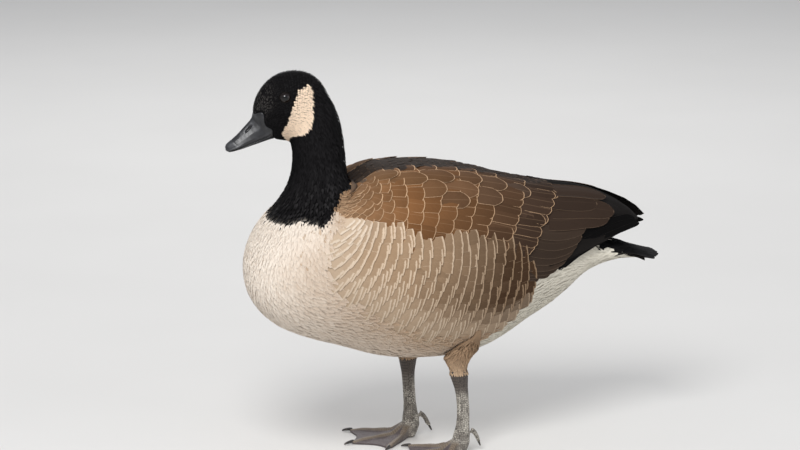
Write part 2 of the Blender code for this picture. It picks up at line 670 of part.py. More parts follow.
def make_claws(side):
    """Three front claws at the tips of the toes, and the hind toe with its claw."""
    for name, turn in TOE_ANGLES.items():
        reach = TOE_LENGTHS[name] + 2.0 * GAP
        start = foot_place(side, turn, reach, CLAW_RADIUS + GAP)
        knee = foot_place(side, turn, reach + CLAW_LENGTH * 0.6, CLAW_RADIUS * 1.25)
        end = foot_place(side, turn, reach + CLAW_LENGTH, CLAW_TIP_RADIUS + GAP)
        new_object(f"claw_{side}_{name}", horn(start, knee, end, CLAW_RADIUS, CLAW_TIP_RADIUS), "bill_horn")
    root = leg_ring(side, HIND_TOE_TOP, HIND_TOE_SEAT, 0.0, 4)[0]
    knee, end = [root + Vector((back, -SIDES[side] * inwards, -down))
                 for back, inwards, down in (HIND_TOE_BEND, HIND_TOE_END)]
    toe = horn(root, knee, end, HIND_TOE_RADIUS, HIND_TOE_RADIUS * 0.55, rows=6, count=8)
    new_object(f"hind_toe_{side}", toe, "leg_skin")
    ahead = (end - knee).normalized()
    start = end + ahead * (2.0 * GAP)
    tip = start + ahead * HIND_CLAW_LENGTH
    claw = horn(start, (start + tip) / 2.0, tip, CLAW_RADIUS * 0.75, CLAW_TIP_RADIUS)
    new_object(f"claw_{side}_hind", claw, "bill_horn")


def main():
    """Builds every part of the goose."""
    for obj in list(bpy.data.objects):
        bpy.data.objects.remove(obj, do_unlink=True)
    trunk = make_trunk()
    make_neck()
    make_head_and_eyes()
    make_bill()
    make_tail()
    shape = bmesh.new()
    shape.from_mesh(trunk.data)
    trunk_tree = BVHTree.FromBMesh(shape)
    shape.free()
    for side in SIDES:
        make_wing(side)
        make_thigh(side, trunk_tree)
        make_leg(side)
        make_foot(side)
        make_claws(side)


main()
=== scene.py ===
"""Looks of a still, life-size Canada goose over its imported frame.

Units are metres, +Z is up and the bird faces -X. One skin stands for the flesh of head, neck, trunk and
thighs, and runs on under the folded wings. Feathers grow on it as vanes of solid mesh, and the quills and
cores of wings and tail, the bill, eyes, legs with their feet, and claws are pieces of their own.
"""

import logging
import math
from dataclasses import dataclass, field
from enum import Enum
from functools import partial
from typing import Callable, Optional, Sequence, Union

import bmesh
import bpy
import numpy as np
from mathutils import Matrix, Vector
from mathutils.bvhtree import BVHTree


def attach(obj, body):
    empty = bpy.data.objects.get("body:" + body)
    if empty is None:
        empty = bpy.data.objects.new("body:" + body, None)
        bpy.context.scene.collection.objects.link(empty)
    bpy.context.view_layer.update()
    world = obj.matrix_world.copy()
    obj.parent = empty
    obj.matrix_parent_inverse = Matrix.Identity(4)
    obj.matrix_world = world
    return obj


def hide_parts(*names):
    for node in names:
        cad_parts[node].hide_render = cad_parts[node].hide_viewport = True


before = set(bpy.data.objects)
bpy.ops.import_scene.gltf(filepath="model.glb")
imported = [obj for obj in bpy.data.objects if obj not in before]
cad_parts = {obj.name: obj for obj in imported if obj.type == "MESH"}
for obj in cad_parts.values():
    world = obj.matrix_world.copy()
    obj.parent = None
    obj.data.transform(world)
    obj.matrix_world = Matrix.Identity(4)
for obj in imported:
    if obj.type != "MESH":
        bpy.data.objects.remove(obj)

log = logging.getLogger("goose")
Number = Union[float, np.ndarray]
Colour = tuple[float, float, float]

SIDES = {"left": -1.0, "right": 1.0}
TOES = ("inner", "middle", "outer", "hind")
FULL_TURN = 2 * math.pi
ALL_ROUND = (-180.0, 180.0)
# The drawing's zero is below the hips and 5 mm over the floor.
DRAWING_SHIFT = np.array([-0.0665, 0.0, 0.0050])
HEAD_TURN = math.radians(8.0)
NECK_AXIS_X = -0.112

# Guide rings from the bill's base to the tail's root: back line x, z; belly line x, z; half width.
BODY_RINGS = {
    "bill_base": (-0.1970, 0.4480, -0.1710, 0.4165, 0.0145),
    "lores": (-0.1960, 0.4630, -0.1640, 0.4145, 0.0188),
    "forehead": (-0.1885, 0.4790, -0.1575, 0.4135, 0.0218),
    "brow": (-0.1755, 0.4945, -0.1525, 0.4125, 0.0243),
    "crown": (-0.1555, 0.5030, -0.1490, 0.4105, 0.0268),
    "hind_crown": (-0.1310, 0.5030, -0.1470, 0.4070, 0.0288),
    "occiput": (-0.1115, 0.4915, -0.1460, 0.4015, 0.0300),
    "nape": (-0.0970, 0.4690, -0.1455, 0.3945, 0.0308),
    "upper_neck": (-0.0855, 0.4420, -0.1455, 0.3860, 0.0312),
    "middle_neck": (-0.0790, 0.4080, -0.1465, 0.3730, 0.0325),
    "lower_neck": (-0.0765, 0.3780, -0.1515, 0.3550, 0.0370),
    "neck_root": (-0.0740, 0.3590, -0.1610, 0.3350, 0.0470),
    "collar": (-0.0690, 0.3570, -0.1755, 0.3130, 0.0610),
    "crop": (-0.0610, 0.3650, -0.1955, 0.2850, 0.0765),
    "breast": (-0.0500, 0.3725, -0.2080, 0.2500, 0.0890),
    "fore_keel": (-0.0360, 0.3775, -0.2030, 0.2100, 0.0990),
    "keel": (-0.0180, 0.3803, -0.1760, 0.1770, 0.1050),
    "fore_flank": (0.0060, 0.3803, -0.1350, 0.1570, 0.1085),
    "flank": (0.0350, 0.3782, -0.0910, 0.1430, 0.1095),
    "mid_flank": (0.0670, 0.3740, -0.0470, 0.1275, 0.1085),
    "belly": (0.0970, 0.3670, -0.0060, 0.1190, 0.1060),
    "hip": (0.1240, 0.3590, 0.0450, 0.1160, 0.1010),
    "hind_hip": (0.1510, 0.3505, 0.0900, 0.1190, 0.0930),
    "vent": (0.1800, 0.3420, 0.1290, 0.1320, 0.0820),
    "hind_vent": (0.2110, 0.3350, 0.1640, 0.1510, 0.0700),
    "rump": (0.2400, 0.3130, 0.2000, 0.1690, 0.0570),
    "croup": (0.2520, 0.2860, 0.2260, 0.1880, 0.0470),
    "tail_base": (0.2620, 0.2660, 0.2490, 0.2080, 0.0400),
    "under_tail": (0.2780, 0.2550, 0.2750, 0.2200, 0.0370),
    "tail_root": (0.3000, 0.2490, 0.3020, 0.2255, 0.0350),
    "tail_cover": (0.3115, 0.2453, 0.3125, 0.2268, 0.0372),
    "fore_tail": (0.3285, 0.2388, 0.3290, 0.2282, 0.0380),
    "mid_tail": (0.3415, 0.2347, 0.3418, 0.2287, 0.0385),
}
STATIONS = {name: float(i) for i, name in enumerate(BODY_RINGS)}
# Behind the vent the folded wings leave the trunk and follow rings of their own.
WING_REAR_RINGS = (
    (0.2500, 0.3280, 0.2050, 0.1900, 0.0610), (0.2820, 0.3160, 0.2500, 0.2150, 0.0500),
    (0.3120, 0.3000, 0.2900, 0.2330, 0.0360), (0.3340, 0.2820, 0.3230, 0.2500, 0.0230),
    (0.3640, 0.2730, 0.3560, 0.2450, 0.0200),
)


def smoothstep(value: Number, low: float, high: float) -> Number:
    """Goes smoothly from 0 at low to 1 at high, for numbers and arrays alike."""
    t = np.clip((value - low) / (high - low), 0.0, 1.0)
    return t * t * (3.0 - 2.0 * t)


def between(start: Number, end: Number, share: Number) -> Number:
    """The value at a share of the way from start to end."""
    return start + (end - start) * share


def unit(vectors: np.ndarray) -> np.ndarray:
    """The same vectors with length 1."""
    return vectors / np.maximum(np.linalg.norm(vectors, axis=-1, keepdims=True), 1e-12)


def curve_through(points: Sequence[Sequence[float]], places: Number) -> np.ndarray:
    """Reads a smooth Catmull-Rom curve through evenly numbered points.

    Args:
        points: The points, one row each.
        places: Fractional point numbers to read at.

    Returns:
        One row for each place.
    """
    rows = np.asarray(points, dtype=float)
    padded = np.vstack([2 * rows[0] - rows[1], rows, 2 * rows[-1] - rows[-2]])
    places = np.clip(np.atleast_1d(np.asarray(places, dtype=float)), 0.0, len(rows) - 1.0)
    i = np.minimum(places.astype(int), len(rows) - 2)
    t = (places - i)[:, None]
    before, start, end, after = padded[i], padded[i + 1], padded[i + 2], padded[i + 3]
    return 0.5 * (2 * start + (end - before) * t + (2 * before - 5 * start + 4 * end - after) * t**2
                  + (3 * start - before - 3 * end + after) * t**3)


def table_value(table: Sequence[tuple[float, float]], place: Number) -> np.ndarray:
    """Reads a short table of (place, value) pairs with straight lines between them."""
    places, values = zip(*table)
    return np.interp(place, places, values)


def ramp(stops: Sequence[Sequence[float]], share: np.ndarray) -> np.ndarray:
    """Colours along evenly spaced stops."""
    places = np.linspace(0.0, 1.0, len(stops))
    return np.stack([np.interp(share, places, [stop[i] for stop in stops]) for i in range(3)], axis=-1)


def toned(colour: Sequence[float], amounts: np.ndarray) -> np.ndarray:
    """One colour times each amount, a row each."""
    return np.asarray(colour) * amounts[:, None]


def tinted(colours: np.ndarray, goal: Sequence[float], share: np.ndarray) -> np.ndarray:
    """Rows of colour taken towards a goal, each by its own share."""
    return colours + (np.asarray(goal) - colours) * share[..., None]


def level(row: float, degrees: np.ndarray) -> np.ndarray:
    """The lean of a row that runs straight round the body."""
    return 0.0 * degrees


@dataclass(frozen=True)
class Spacing:
    """A distance in metres that changes smoothly between two stations."""

    near: float
    far: float
    first: float
    last: float

    def at(self, station: float) -> float:
        """The distance at a station."""
        return float(between(self.near, self.far, smoothstep(station, self.first, self.last)))


class Value:
    """One socket of a node tree that works in Python arithmetic."""

    def __init__(self, graph: "Graph", socket: bpy.types.NodeSocket) -> None:
        self.graph = graph
        self.socket = socket

    def __add__(self, other: "Value | float") -> "Value":
        """Sum."""
        return self.graph.math("ADD", self, other)

    __radd__ = __add__

    def __sub__(self, other: "Value | float") -> "Value":
        """Difference."""
        return self.graph.math("SUBTRACT", self, other)

    def __rsub__(self, other: float) -> "Value":
        """Difference with a number on the left."""
        return self.graph.math("SUBTRACT", other, self)

    def __mul__(self, other: "Value | float") -> "Value":
        """Product."""
        return self.graph.math("MULTIPLY", self, other)

    __rmul__ = __mul__

    def __truediv__(self, other: "Value | float") -> "Value":
        """Quotient."""
        return self.graph.math("DIVIDE", self, other)

    def __rtruediv__(self, other: float) -> "Value":
        """Quotient with a number on the left."""
        return self.graph.math("DIVIDE", other, self)

    def __pow__(self, other: "Value | float") -> "Value":
        """Power."""
        return self.graph.math("POWER", self, other)

    def __abs__(self) -> "Value":
        """Size without sign."""
        return self.graph.math("ABSOLUTE", self)

    def least(self, other: "Value | float") -> "Value":
        """The smaller of two."""
        return self.graph.math("MINIMUM", self, other)

    def most(self, other: "Value | float") -> "Value":
        """The larger of two."""
        return self.graph.math("MAXIMUM", self, other)

    def sine(self) -> "Value":
        """Sine of an angle in radians."""
        return self.graph.math("SINE", self)

    def step(self, low: "Value | float", high: "Value | float") -> "Value":
        """Goes smoothly from 0 at low to 1 at high."""
        settings = {"interpolation_type": "SMOOTHSTEP"}
        return self.graph.out("ShaderNodeMapRange", settings, {0: self, 1: low, 2: high})


class Graph:
    """Builds a node tree, for a material or for geometry."""

    def __init__(self, tree: bpy.types.NodeTree) -> None:
        self.tree = tree

    def node(self, kind: str, settings: Optional[dict] = None,
             inputs: Optional[dict] = None) -> bpy.types.Node:
        """Adds a node.

        Args:
            kind: Blender's name for the node type.
            settings: Properties of the node, set first.
            inputs: Values or links, by socket name or number.

        Returns:
            The new node.
        """
        node = self.tree.nodes.new(kind)
        for name, value in (settings or {}).items():
            setattr(node, name, value)
        for key, value in (inputs or {}).items():
            if isinstance(value, Value):
                self.tree.links.new(value.socket, node.inputs[key])
            else:
                node.inputs[key].default_value = value
        return node

    def out(self, kind: str, settings: Optional[dict] = None, inputs: Optional[dict] = None,
            output: Union[int, str] = 0) -> Value:
        """Adds a node and returns one of its outputs."""
        return Value(self, self.node(kind, settings, inputs).outputs[output])

    def math(self, operation: str, *values: "Value | float") -> Value:
        """Adds one Math node."""
        return self.out("ShaderNodeMath", {"operation": operation}, dict(enumerate(values)))

    def vector(self, operation: str, *values: "Value | Sequence[float]") -> Value:
        """Adds one Vector Math node that gives a vector."""
        return self.out("ShaderNodeVectorMath", {"operation": operation}, dict(enumerate(values)))

    def scaled(self, vector: Value, amount: "Value | float") -> Value:
        """A vector times a number."""
        return self.out("ShaderNodeVectorMath", {"operation": "SCALE"}, {0: vector, "Scale": amount})

    def xyz(self, x: "Value | float", y: "Value | float", z: "Value | float") -> Value:
        """A vector from three numbers."""
        return self.out("ShaderNodeCombineXYZ", None, {0: x, 1: y, 2: z})

    def mix(self, first: "Value | Colour", second: "Value | Colour", factor: "Value | float") -> Value:
        """Mixes two colours.

        Args:
            first: Colour where the factor is 0.
            second: Colour where it is 1.
            factor: The share of the second.

        Returns:
            The mixed colour.
        """
        plain = [c if isinstance(c, Value) else (*c, 1.0) for c in (first, second)]
        return self.out("ShaderNodeMix", {"data_type": "RGBA"}, {0: factor, 6: plain[0], 7: plain[1]}, 2)

    def noise(self, vector: Value, scale: float, detail: float = 2.0, output: str = "Fac") -> Value:
        """Smooth noise over a vector."""
        inputs = {"Vector": vector, "Scale": scale, "Detail": detail}
        return self.out("ShaderNodeTexNoise", None, inputs, output)

    def attribute(self, name: str, output: str = "Fac") -> Value:
        """A named attribute of the mesh, in a material."""
        return self.out("ShaderNodeAttribute", {"attribute_name": name}, None, output)

    def place(self) -> Value:
        """Where a point is on its object, in metres."""
        return self.out("ShaderNodeTexCoord", None, None, "Object")

    def darkened(self, colour: Value, share: Value) -> Value:
        """A colour mixed with a share of black."""
        return self.mix(colour, (0.0, 0.0, 0.0), share)


class Finish:
    """A material built from nodes on one Principled shader."""

    name = "finish"
    roughness = 0.6
    constants: dict = {}

    def __init__(self) -> None:
        self._material: Optional[bpy.types.Material] = None

    def surface(self, graph: Graph) -> dict:
        """The sockets of the shader that vary over the surface.

        Args:
            graph: The material's tree.

        Returns:
            Values by the shader's socket names.
        """
        raise NotImplementedError

    def bump(self, graph: Graph, height: Value, strength: float, distance: float) -> Value:
        """A normal from a height pattern."""
        inputs = {"Strength": strength, "Distance": distance, "Height": height}
        return graph.out("ShaderNodeBump", None, inputs)

    def material(self) -> bpy.types.Material:
        """The finished material, made once."""
        if self._material is None:
            material = bpy.data.materials.new(self.name)
            material.use_nodes = True
            graph = Graph(material.node_tree)
            shader = material.node_tree.nodes["Principled BSDF"]
            shader.inputs["Roughness"].default_value = self.roughness
            for socket, value in self.constants.items():
                shader.inputs[socket].default_value = value
            for socket, value in self.surface(graph).items():
                graph.tree.links.new(value.socket, shader.inputs[socket])
            self._material = material
        return self._material


class FeatherFinish(Finish):
    """Plumage: each vane has its own colours, a pale rim, a shaft line and fine barbs."""

    name = "plumage"
    roughness = 0.62
    constants = {"Specular IOR Level": 0.03}

    def surface(self, graph: Graph) -> dict:
        """Colour from the vane's own values, and barbs as bump.

        Args:
            graph: The material's tree.

        Returns:
            Base colour and normal.
        """
        across, along = graph.attribute("across"), graph.attribute("along")
        length, half_width = graph.attribute("long"), graph.attribute("wide")
        rim_width = graph.attribute("rim")
        wobble = graph.noise(graph.place(), 420.0, 1.0) - 0.5
        to_tip = (1.0 - along) * length
        to_side = (1.0 - abs(across)) * half_width * graph.attribute("side_rim")
        edge = to_tip.least(to_side) + wobble * rim_width * 0.9
        rim = 1.0 - edge.step(rim_width * 0.45, rim_width * 1.05)
        shade = 1.04 - along.step(0.35, 0.95) * 0.20 * graph.attribute("shaft")
        barb_place = graph.xyz((abs(across) * half_width - along * length * 0.55) * 1500.0,
                               along * length * 120.0, across * 3.0)
        barbs = graph.noise(barb_place, 1.0, 2.0)
        tone = shade * (barbs * 0.34 + 0.83)
        base = graph.darkened(graph.attribute("vane_colour", "Color"), 1.0 - tone)
        shaft = 1.0 - (abs(across) * half_width).step(0.00015, 0.00055)
        rim_colour = graph.darkened(graph.attribute("rim_colour", "Color"), (1.0 - barbs) * 0.22)
        colour = graph.mix(base, rim_colour, (rim + shaft * 0.16 * graph.attribute("shaft")).least(1.0))
        return {"Base Color": colour, "Normal": self.bump(graph, barbs, 0.35, 0.0004)}


class SkinFinish(Finish):
    """The skin under the feathers, with the same markings as the coat."""

    name = "skin_under_plumage"
    roughness = 0.72
    constants = {"Specular IOR Level": 0.04}

    def surface(self, graph: Graph) -> dict:
        """The markings, darkened a little as the shade between feathers.

        Args:
            graph: The material's tree.

        Returns:
            Base colour and normal.
        """
        down = graph.noise(graph.place(), 900.0, 3.0)
        colour = graph.darkened(graph.attribute("skin_colour", "Color"), down * 0.35 + 0.12)
        return {"Base Color": colour, "Normal": self.bump(graph, down, 0.5, 0.0008)}


class BillFinish(Finish):
    """Dark slate horn with a soft gloss and faint lengthwise grain."""

    name = "bill_horn"
    roughness = 0.34
    constants = {"Specular IOR Level": 0.5}

    def surface(self, graph: Graph) -> dict:
        """Slate, paler in worn patches, on the nail, the mouth's lip and the nostrils' rims, and darkened as
        painted shade in the nostril pits and the mouth's cleft.

        Args:
            graph: The material's tree.

        Returns:
            Base colour, roughness and normal.
        """
        place = graph.place()
        cloud = graph.noise(place, 130.0, 4.0)
        speck = graph.noise(place, 1400.0, 2.0)
        # Wear and pale edges, less painted shade in the nostril pits and the mouth's cleft.
        wear_and_shade = (cloud.step(0.45, 0.75) * 0.40 + graph.attribute("pale") * 0.7 + 0.12).most(0.0)
        colour = graph.mix((0.007, 0.007, 0.008), (0.058, 0.060, 0.067), wear_and_shade)
        return {
            "Base Color": colour,
            "Roughness": cloud * 0.24 + 0.20,
            "Normal": self.bump(graph, cloud * 0.6 + speck * 0.4, 0.16, 0.0006),
        }


class LegFinish(Finish):
    """Scaly leg skin: dark above, greyer below, purplish webs and paler scale tops."""

    name = "leg_skin"
    roughness = 0.50
    constants = {"Specular IOR Level": 0.40}

    @staticmethod
    def cells(graph: Graph, place: Value, scale: float, low: float, high: float) -> Value:
        """1 on the tops of round-cornered scales, 0 in the grooves.

        Args:
            graph: The material's tree.
            place: The place on the object.
            scale: Scales to a metre.
            low: Distance from the edge where the groove ends.
            high: Distance where the top starts.

        Returns:
            The pattern.
        """
        settings = {"feature": "DISTANCE_TO_EDGE"}
        inputs = {"Vector": place, "Scale": scale, "Randomness": 0.65}
        return graph.out("ShaderNodeTexVoronoi", settings, inputs, "Distance").step(low, high)

    def surface(self, graph: Graph) -> dict:
        """Colour and relief from the scales, the toes and the height on the leg.

        Args:
            graph: The material's tree.

        Returns:
            Base colour, roughness and normal.
        """
        place = graph.place()
        web, on_toe, front = (graph.attribute(name) for name in ("web", "on_toe", "front"))
        cloud = graph.noise(place, 90.0, 3.0)
        dust = graph.noise(place, 700.0, 3.0)
        height = graph.attribute("up_leg")
        shank = self.cells(graph, place, 400.0, 0.03, 0.17)
        above = graph.out("ShaderNodeSeparateXYZ", None, {0: place}, 2)
        bands = 1.0 - abs((above * (math.pi / 0.0040) + cloud * 1.2).sine())**8.0
        plates = 1.0 - abs((graph.attribute("toe_along") * (math.pi / 0.0030)).sine())**10.0
        fine = self.cells(graph, place, 900.0, 0.02, 0.25)
        scales = shank + (bands.least(shank + 0.55) - shank) * front * height.step(0.55, 0.75)
        scales = scales + (plates.least(fine * 0.4 + 0.6) - scales) * on_toe
        relief = scales + (fine - scales) * web
        up = height.step(0.62, 0.86)
        low_top = graph.mix((0.260, 0.235, 0.200), (0.620, 0.580, 0.500), cloud.step(0.35, 0.65))
        scale_top = graph.mix(low_top, (0.105, 0.084, 0.071), up)
        groove = graph.mix((0.090, 0.078, 0.067), (0.046, 0.037, 0.032), up)
        skin = graph.mix(groove, scale_top, relief)
        toe_top = graph.mix((0.090, 0.070, 0.056), (0.330, 0.255, 0.175), relief * (cloud * 0.7 + 0.3))
        skin = graph.mix(skin, toe_top, on_toe)
        webbing = graph.mix((0.058, 0.043, 0.045), (0.150, 0.118, 0.114), relief * 0.5 + cloud * 0.5)
        colour = graph.darkened(graph.mix(skin, webbing, web), dust * 0.28)
        return {
            "Base Color": colour,
            "Roughness": dust * 0.25 + 0.40,
            "Normal": self.bump(graph, relief * 0.7 + dust * 0.3, 0.55, 0.0006),
        }


class ClawFinish(Finish):
    """Dark horn with paler streaks."""

    name = "claw_horn"
    roughness = 0.38

    def surface(self, graph: Graph) -> dict:
        """Streaked horn.

        Args:
            graph: The material's tree.

        Returns:
            Base colour and normal.
        """
        stretched = graph.vector("MULTIPLY", graph.place(), (160.0, 900.0, 900.0))
        streak = graph.noise(stretched, 1.0, 3.0)
        colour = graph.mix((0.022, 0.019, 0.018), (0.150, 0.128, 0.110), streak.step(0.45, 0.80))
        return {"Base Color": colour, "Normal": self.bump(graph, streak, 0.2, 0.0003)}


class EyeFinish(Finish):
    """A dark brown iris round a black pupil under a wet cornea."""

    name = "eye"
    roughness = 0.10
    constants = {"Specular IOR Level": 0.30, "Coat Weight": 0.25, "Coat Roughness": 0.02}

    def surface(self, graph: Graph) -> dict:
        """Rings of colour by the angle from the pupil's middle.

        Args:
            graph: The material's tree.

        Returns:
            Base colour.
        """
        polar = graph.attribute("polar")
        rays = graph.noise(graph.place(), 1800.0, 2.0)
        iris = graph.mix((0.003, 0.002, 0.0018), (0.010, 0.005, 0.0035), rays)
        pupil = 1.0 - polar.step(0.42, 0.48)
        rim = polar.step(0.74, 0.86)
        colour = graph.mix(iris, (0.002, 0.002, 0.002), pupil)
        return {"Base Color": graph.mix(colour, (0.008, 0.006, 0.005), rim)}


class FloorFinish(Finish):
    """A plain pale studio floor."""

    name = "studio_floor"
    roughness = 0.85

    def surface(self, graph: Graph) -> dict:
        """Nearly one colour, with the faintest mottling."""
        mottling = graph.noise(graph.place(), 3.0)
        return {"Base Color": graph.mix((0.62, 0.61, 0.59), (0.66, 0.65, 0.63), mottling)}


@dataclass
class Finishes:
    """The model's finishes, one of each."""

    feather: Finish = field(default_factory=FeatherFinish)
    skin: Finish = field(default_factory=SkinFinish)
    bill: Finish = field(default_factory=BillFinish)
    leg: Finish = field(default_factory=LegFinish)
    claw: Finish = field(default_factory=ClawFinish)
    eye: Finish = field(default_factory=EyeFinish)
    floor: Finish = field(default_factory=FloorFinish)


def welded(*names: str) -> bmesh.types.BMesh:
    """CAD nodes as one mesh to work on, with the corners that their faces share merged.

    Args:
        names: The nodes.

    Returns:
        The working mesh, for the caller to free.
    """
    work = bmesh.new()
    for name in names:
        work.from_mesh(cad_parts[name].data)
    bmesh.ops.remove_doubles(work, verts=work.verts, dist=1e-5)
    bmesh.ops.recalc_face_normals(work, faces=work.faces)
    work.normal_update()
    return work


def node_tree_of(*names: str) -> BVHTree:
    """A ray-cast tree of one or more CAD nodes.

    Args:
        names: The nodes.

    Returns:
        The tree.
    """
    work = welded(*names)
    tree = BVHTree.FromBMesh(work)
    work.free()
    return tree


def linked(name: str, data: Optional[bpy.types.ID]) -> bpy.types.Object:
    """A new object in the scene.

    Args:
        name: The object's name.
        data: Its mesh, light or camera.

    Returns:
        The object.
    """
    obj = bpy.data.objects.new(name, data)
    bpy.context.scene.collection.objects.link(obj)
    return obj


def piece_from(work: bmesh.types.BMesh, name: str, finish: Finish) -> bpy.types.Object:
    """A smooth-shaded object from a working mesh, which is freed.

    Args:
        work: The working mesh.
        name: The piece's name.
        finish: What it is dressed in.

    Returns:
        The linked object.
    """
    mesh = bpy.data.meshes.new(name)
    work.to_mesh(mesh)
    work.free()
    mesh.shade_smooth()
    mesh.materials.clear()
    mesh.materials.append(finish.material())
    return linked(name, mesh)


def new_piece(name: str, verts: np.ndarray, faces: Sequence[Sequence[int]], finish: Finish,
              smooth: bool = True) -> bpy.types.Object:
    """A mesh object at the origin, with its faces as given.

    Args:
        name: The piece's name.
        verts: One row of x, y, z each.
        faces: Vertex numbers of each face.
        finish: What it is dressed in.
        smooth: Whether it is shaded smooth.

    Returns:
        The linked object.
    """
    mesh = bpy.data.meshes.new(name)
    mesh.from_pydata(np.asarray(verts).tolist(), [], faces)
    mesh.validate()
    mesh.update()
    if smooth:
        mesh.shade_smooth()
    mesh.materials.append(finish.material())
    return linked(name, mesh)


def grid_faces(rows: int, columns: int, closed: bool, flip: bool = False, start: int = 0) -> list[list[int]]:
    """Quads over a grid of vertices numbered row by row.

    Args:
        rows: Number of rows.
        columns: Number of columns.
        closed: Whether the last column joins the first.
        flip: Whether the faces turn the other way.
        start: Number of the first vertex.

    Returns:
        Faces as lists of vertex numbers.
    """
    faces = []
    for i in range(rows - 1):
        for j in range(columns if closed else columns - 1):
            k = (j + 1) % columns
            quad = [start + i * columns + j, start + i * columns + k,
                    start + (i + 1) * columns + k, start + (i + 1) * columns + j]
            faces.append(quad[::-1] if flip else quad)
    return faces


def swell(work: bmesh.types.BMesh, amount: Callable) -> None:
    """Moves the vertices of a working mesh outwards, each by the amount given for it."""
    for vert in work.verts:
        vert.co += vert.normal * amount(vert)


def append(work: bmesh.types.BMesh, other: bmesh.types.BMesh) -> None:
    """Adds a second working mesh to the first, and frees it.

    Args:
        work: The mesh that grows.
        other: The mesh that is added.
    """
    mesh = bpy.data.meshes.new("appended")
    other.to_mesh(mesh)
    other.free()
    work.from_mesh(mesh)
    bpy.data.meshes.remove(mesh)


def capped_grid(points: np.ndarray, ends: Sequence[np.ndarray]) -> tuple[np.ndarray, list[list[int]]]:
    """Closes a tube of points at both ends.

    Args:
        points: A grid of rows whose last column joins the first.
        ends: The point that the first row runs to, and the last row's.

    Returns:
        The vertices, with the ends last, and the faces.
    """
    rows, columns = points.shape[:2]
    first, last = rows * columns, rows * columns + 1
    final_row = (rows - 1) * columns
    following = [(j + 1) % columns for j in range(columns)]
    faces = grid_faces(rows, columns, True)
    faces += [[first, k, j] for j, k in enumerate(following)]
    faces += [[last, final_row + j, final_row + k] for j, k in enumerate(following)]
    return np.vstack([points.reshape(-1, 3), *ends]), faces


def node_points(name: str) -> np.ndarray:
    """The vertices of a CAD node, one row each."""
    return np.array([vert.co[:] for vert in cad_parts[name].data.vertices])


def fix_normals(obj: bpy.types.Object) -> None:
    """Turns all faces outwards.

    Args:
        obj: A mesh object.
    """
    work = bmesh.new()
    work.from_mesh(obj.data)
    bmesh.ops.recalc_face_normals(work, faces=work.faces)
    work.to_mesh(obj.data)
    work.free()


def applied(obj: bpy.types.Object) -> bpy.types.Object:
    """Bakes an object's modifiers into its own mesh.

    Args:
        obj: The object.

    Returns:
        The same object, without modifiers.
    """
    depsgraph = bpy.context.evaluated_depsgraph_get()
    mesh = bpy.data.meshes.new_from_object(obj.evaluated_get(depsgraph), depsgraph=depsgraph)
    obj.modifiers.clear()
    obj.data = mesh
    return obj


def at_corners(mesh: bpy.types.Mesh, values: np.ndarray) -> np.ndarray:
    """The vertices' values, one row for each corner of the mesh's faces.

    Args:
        mesh: The mesh.
        values: One row for each vertex.

    Returns:
        One row for each corner.
    """
    corners = np.empty(len(mesh.loops), dtype=int)
    mesh.loops.foreach_get("vertex_index", corners)
    return values[corners]


def store_map(mesh: bpy.types.Mesh, places: np.ndarray) -> None:
    """Adds the bake map, with one place for each corner."""
    layer = mesh.uv_layers.new(name="OFBake")
    layer.data.foreach_set("uv", places.astype(np.float32).ravel())


def set_values(mesh: bpy.types.Mesh, name: str, values: np.ndarray) -> None:
    """Stores one number or one colour for each vertex."""
    if values.ndim == 1:
        layer = mesh.attributes.new(name, "FLOAT", "POINT")
        layer.data.foreach_set("value", values.astype(np.float32))
    else:
        layer = mesh.attributes.new(name, "FLOAT_COLOR", "POINT")
        rgba = np.ones((len(values), 4), np.float32)
        rgba[:, :3] = values
        layer.data.foreach_set("color", rgba.ravel())


def blurred(values: np.ndarray, times: int, closed_columns: bool) -> np.ndarray:
    """Smooths a grid along both directions, keeping its first and last rows.

    Args:
        values: The grid, by row and column.
        times: How often it is smoothed.
        closed_columns: Whether the last column joins the first.

    Returns:
        A smoothed copy.
    """
    result = values.copy()
    for _ in range(times):
        middle = result.copy()
        middle[1:-1] = 0.25 * result[:-2] + 0.5 * result[1:-1] + 0.25 * result[2:]
        if closed_columns:
            result = 0.25 * np.roll(middle, 1, 1) + 0.5 * middle + 0.25 * np.roll(middle, -1, 1)
        else:
            result = middle.copy()
            result[:, 1:-1] = 0.25 * middle[:, :-2] + 0.5 * middle[:, 1:-1] + 0.25 * middle[:, 2:]
    return result


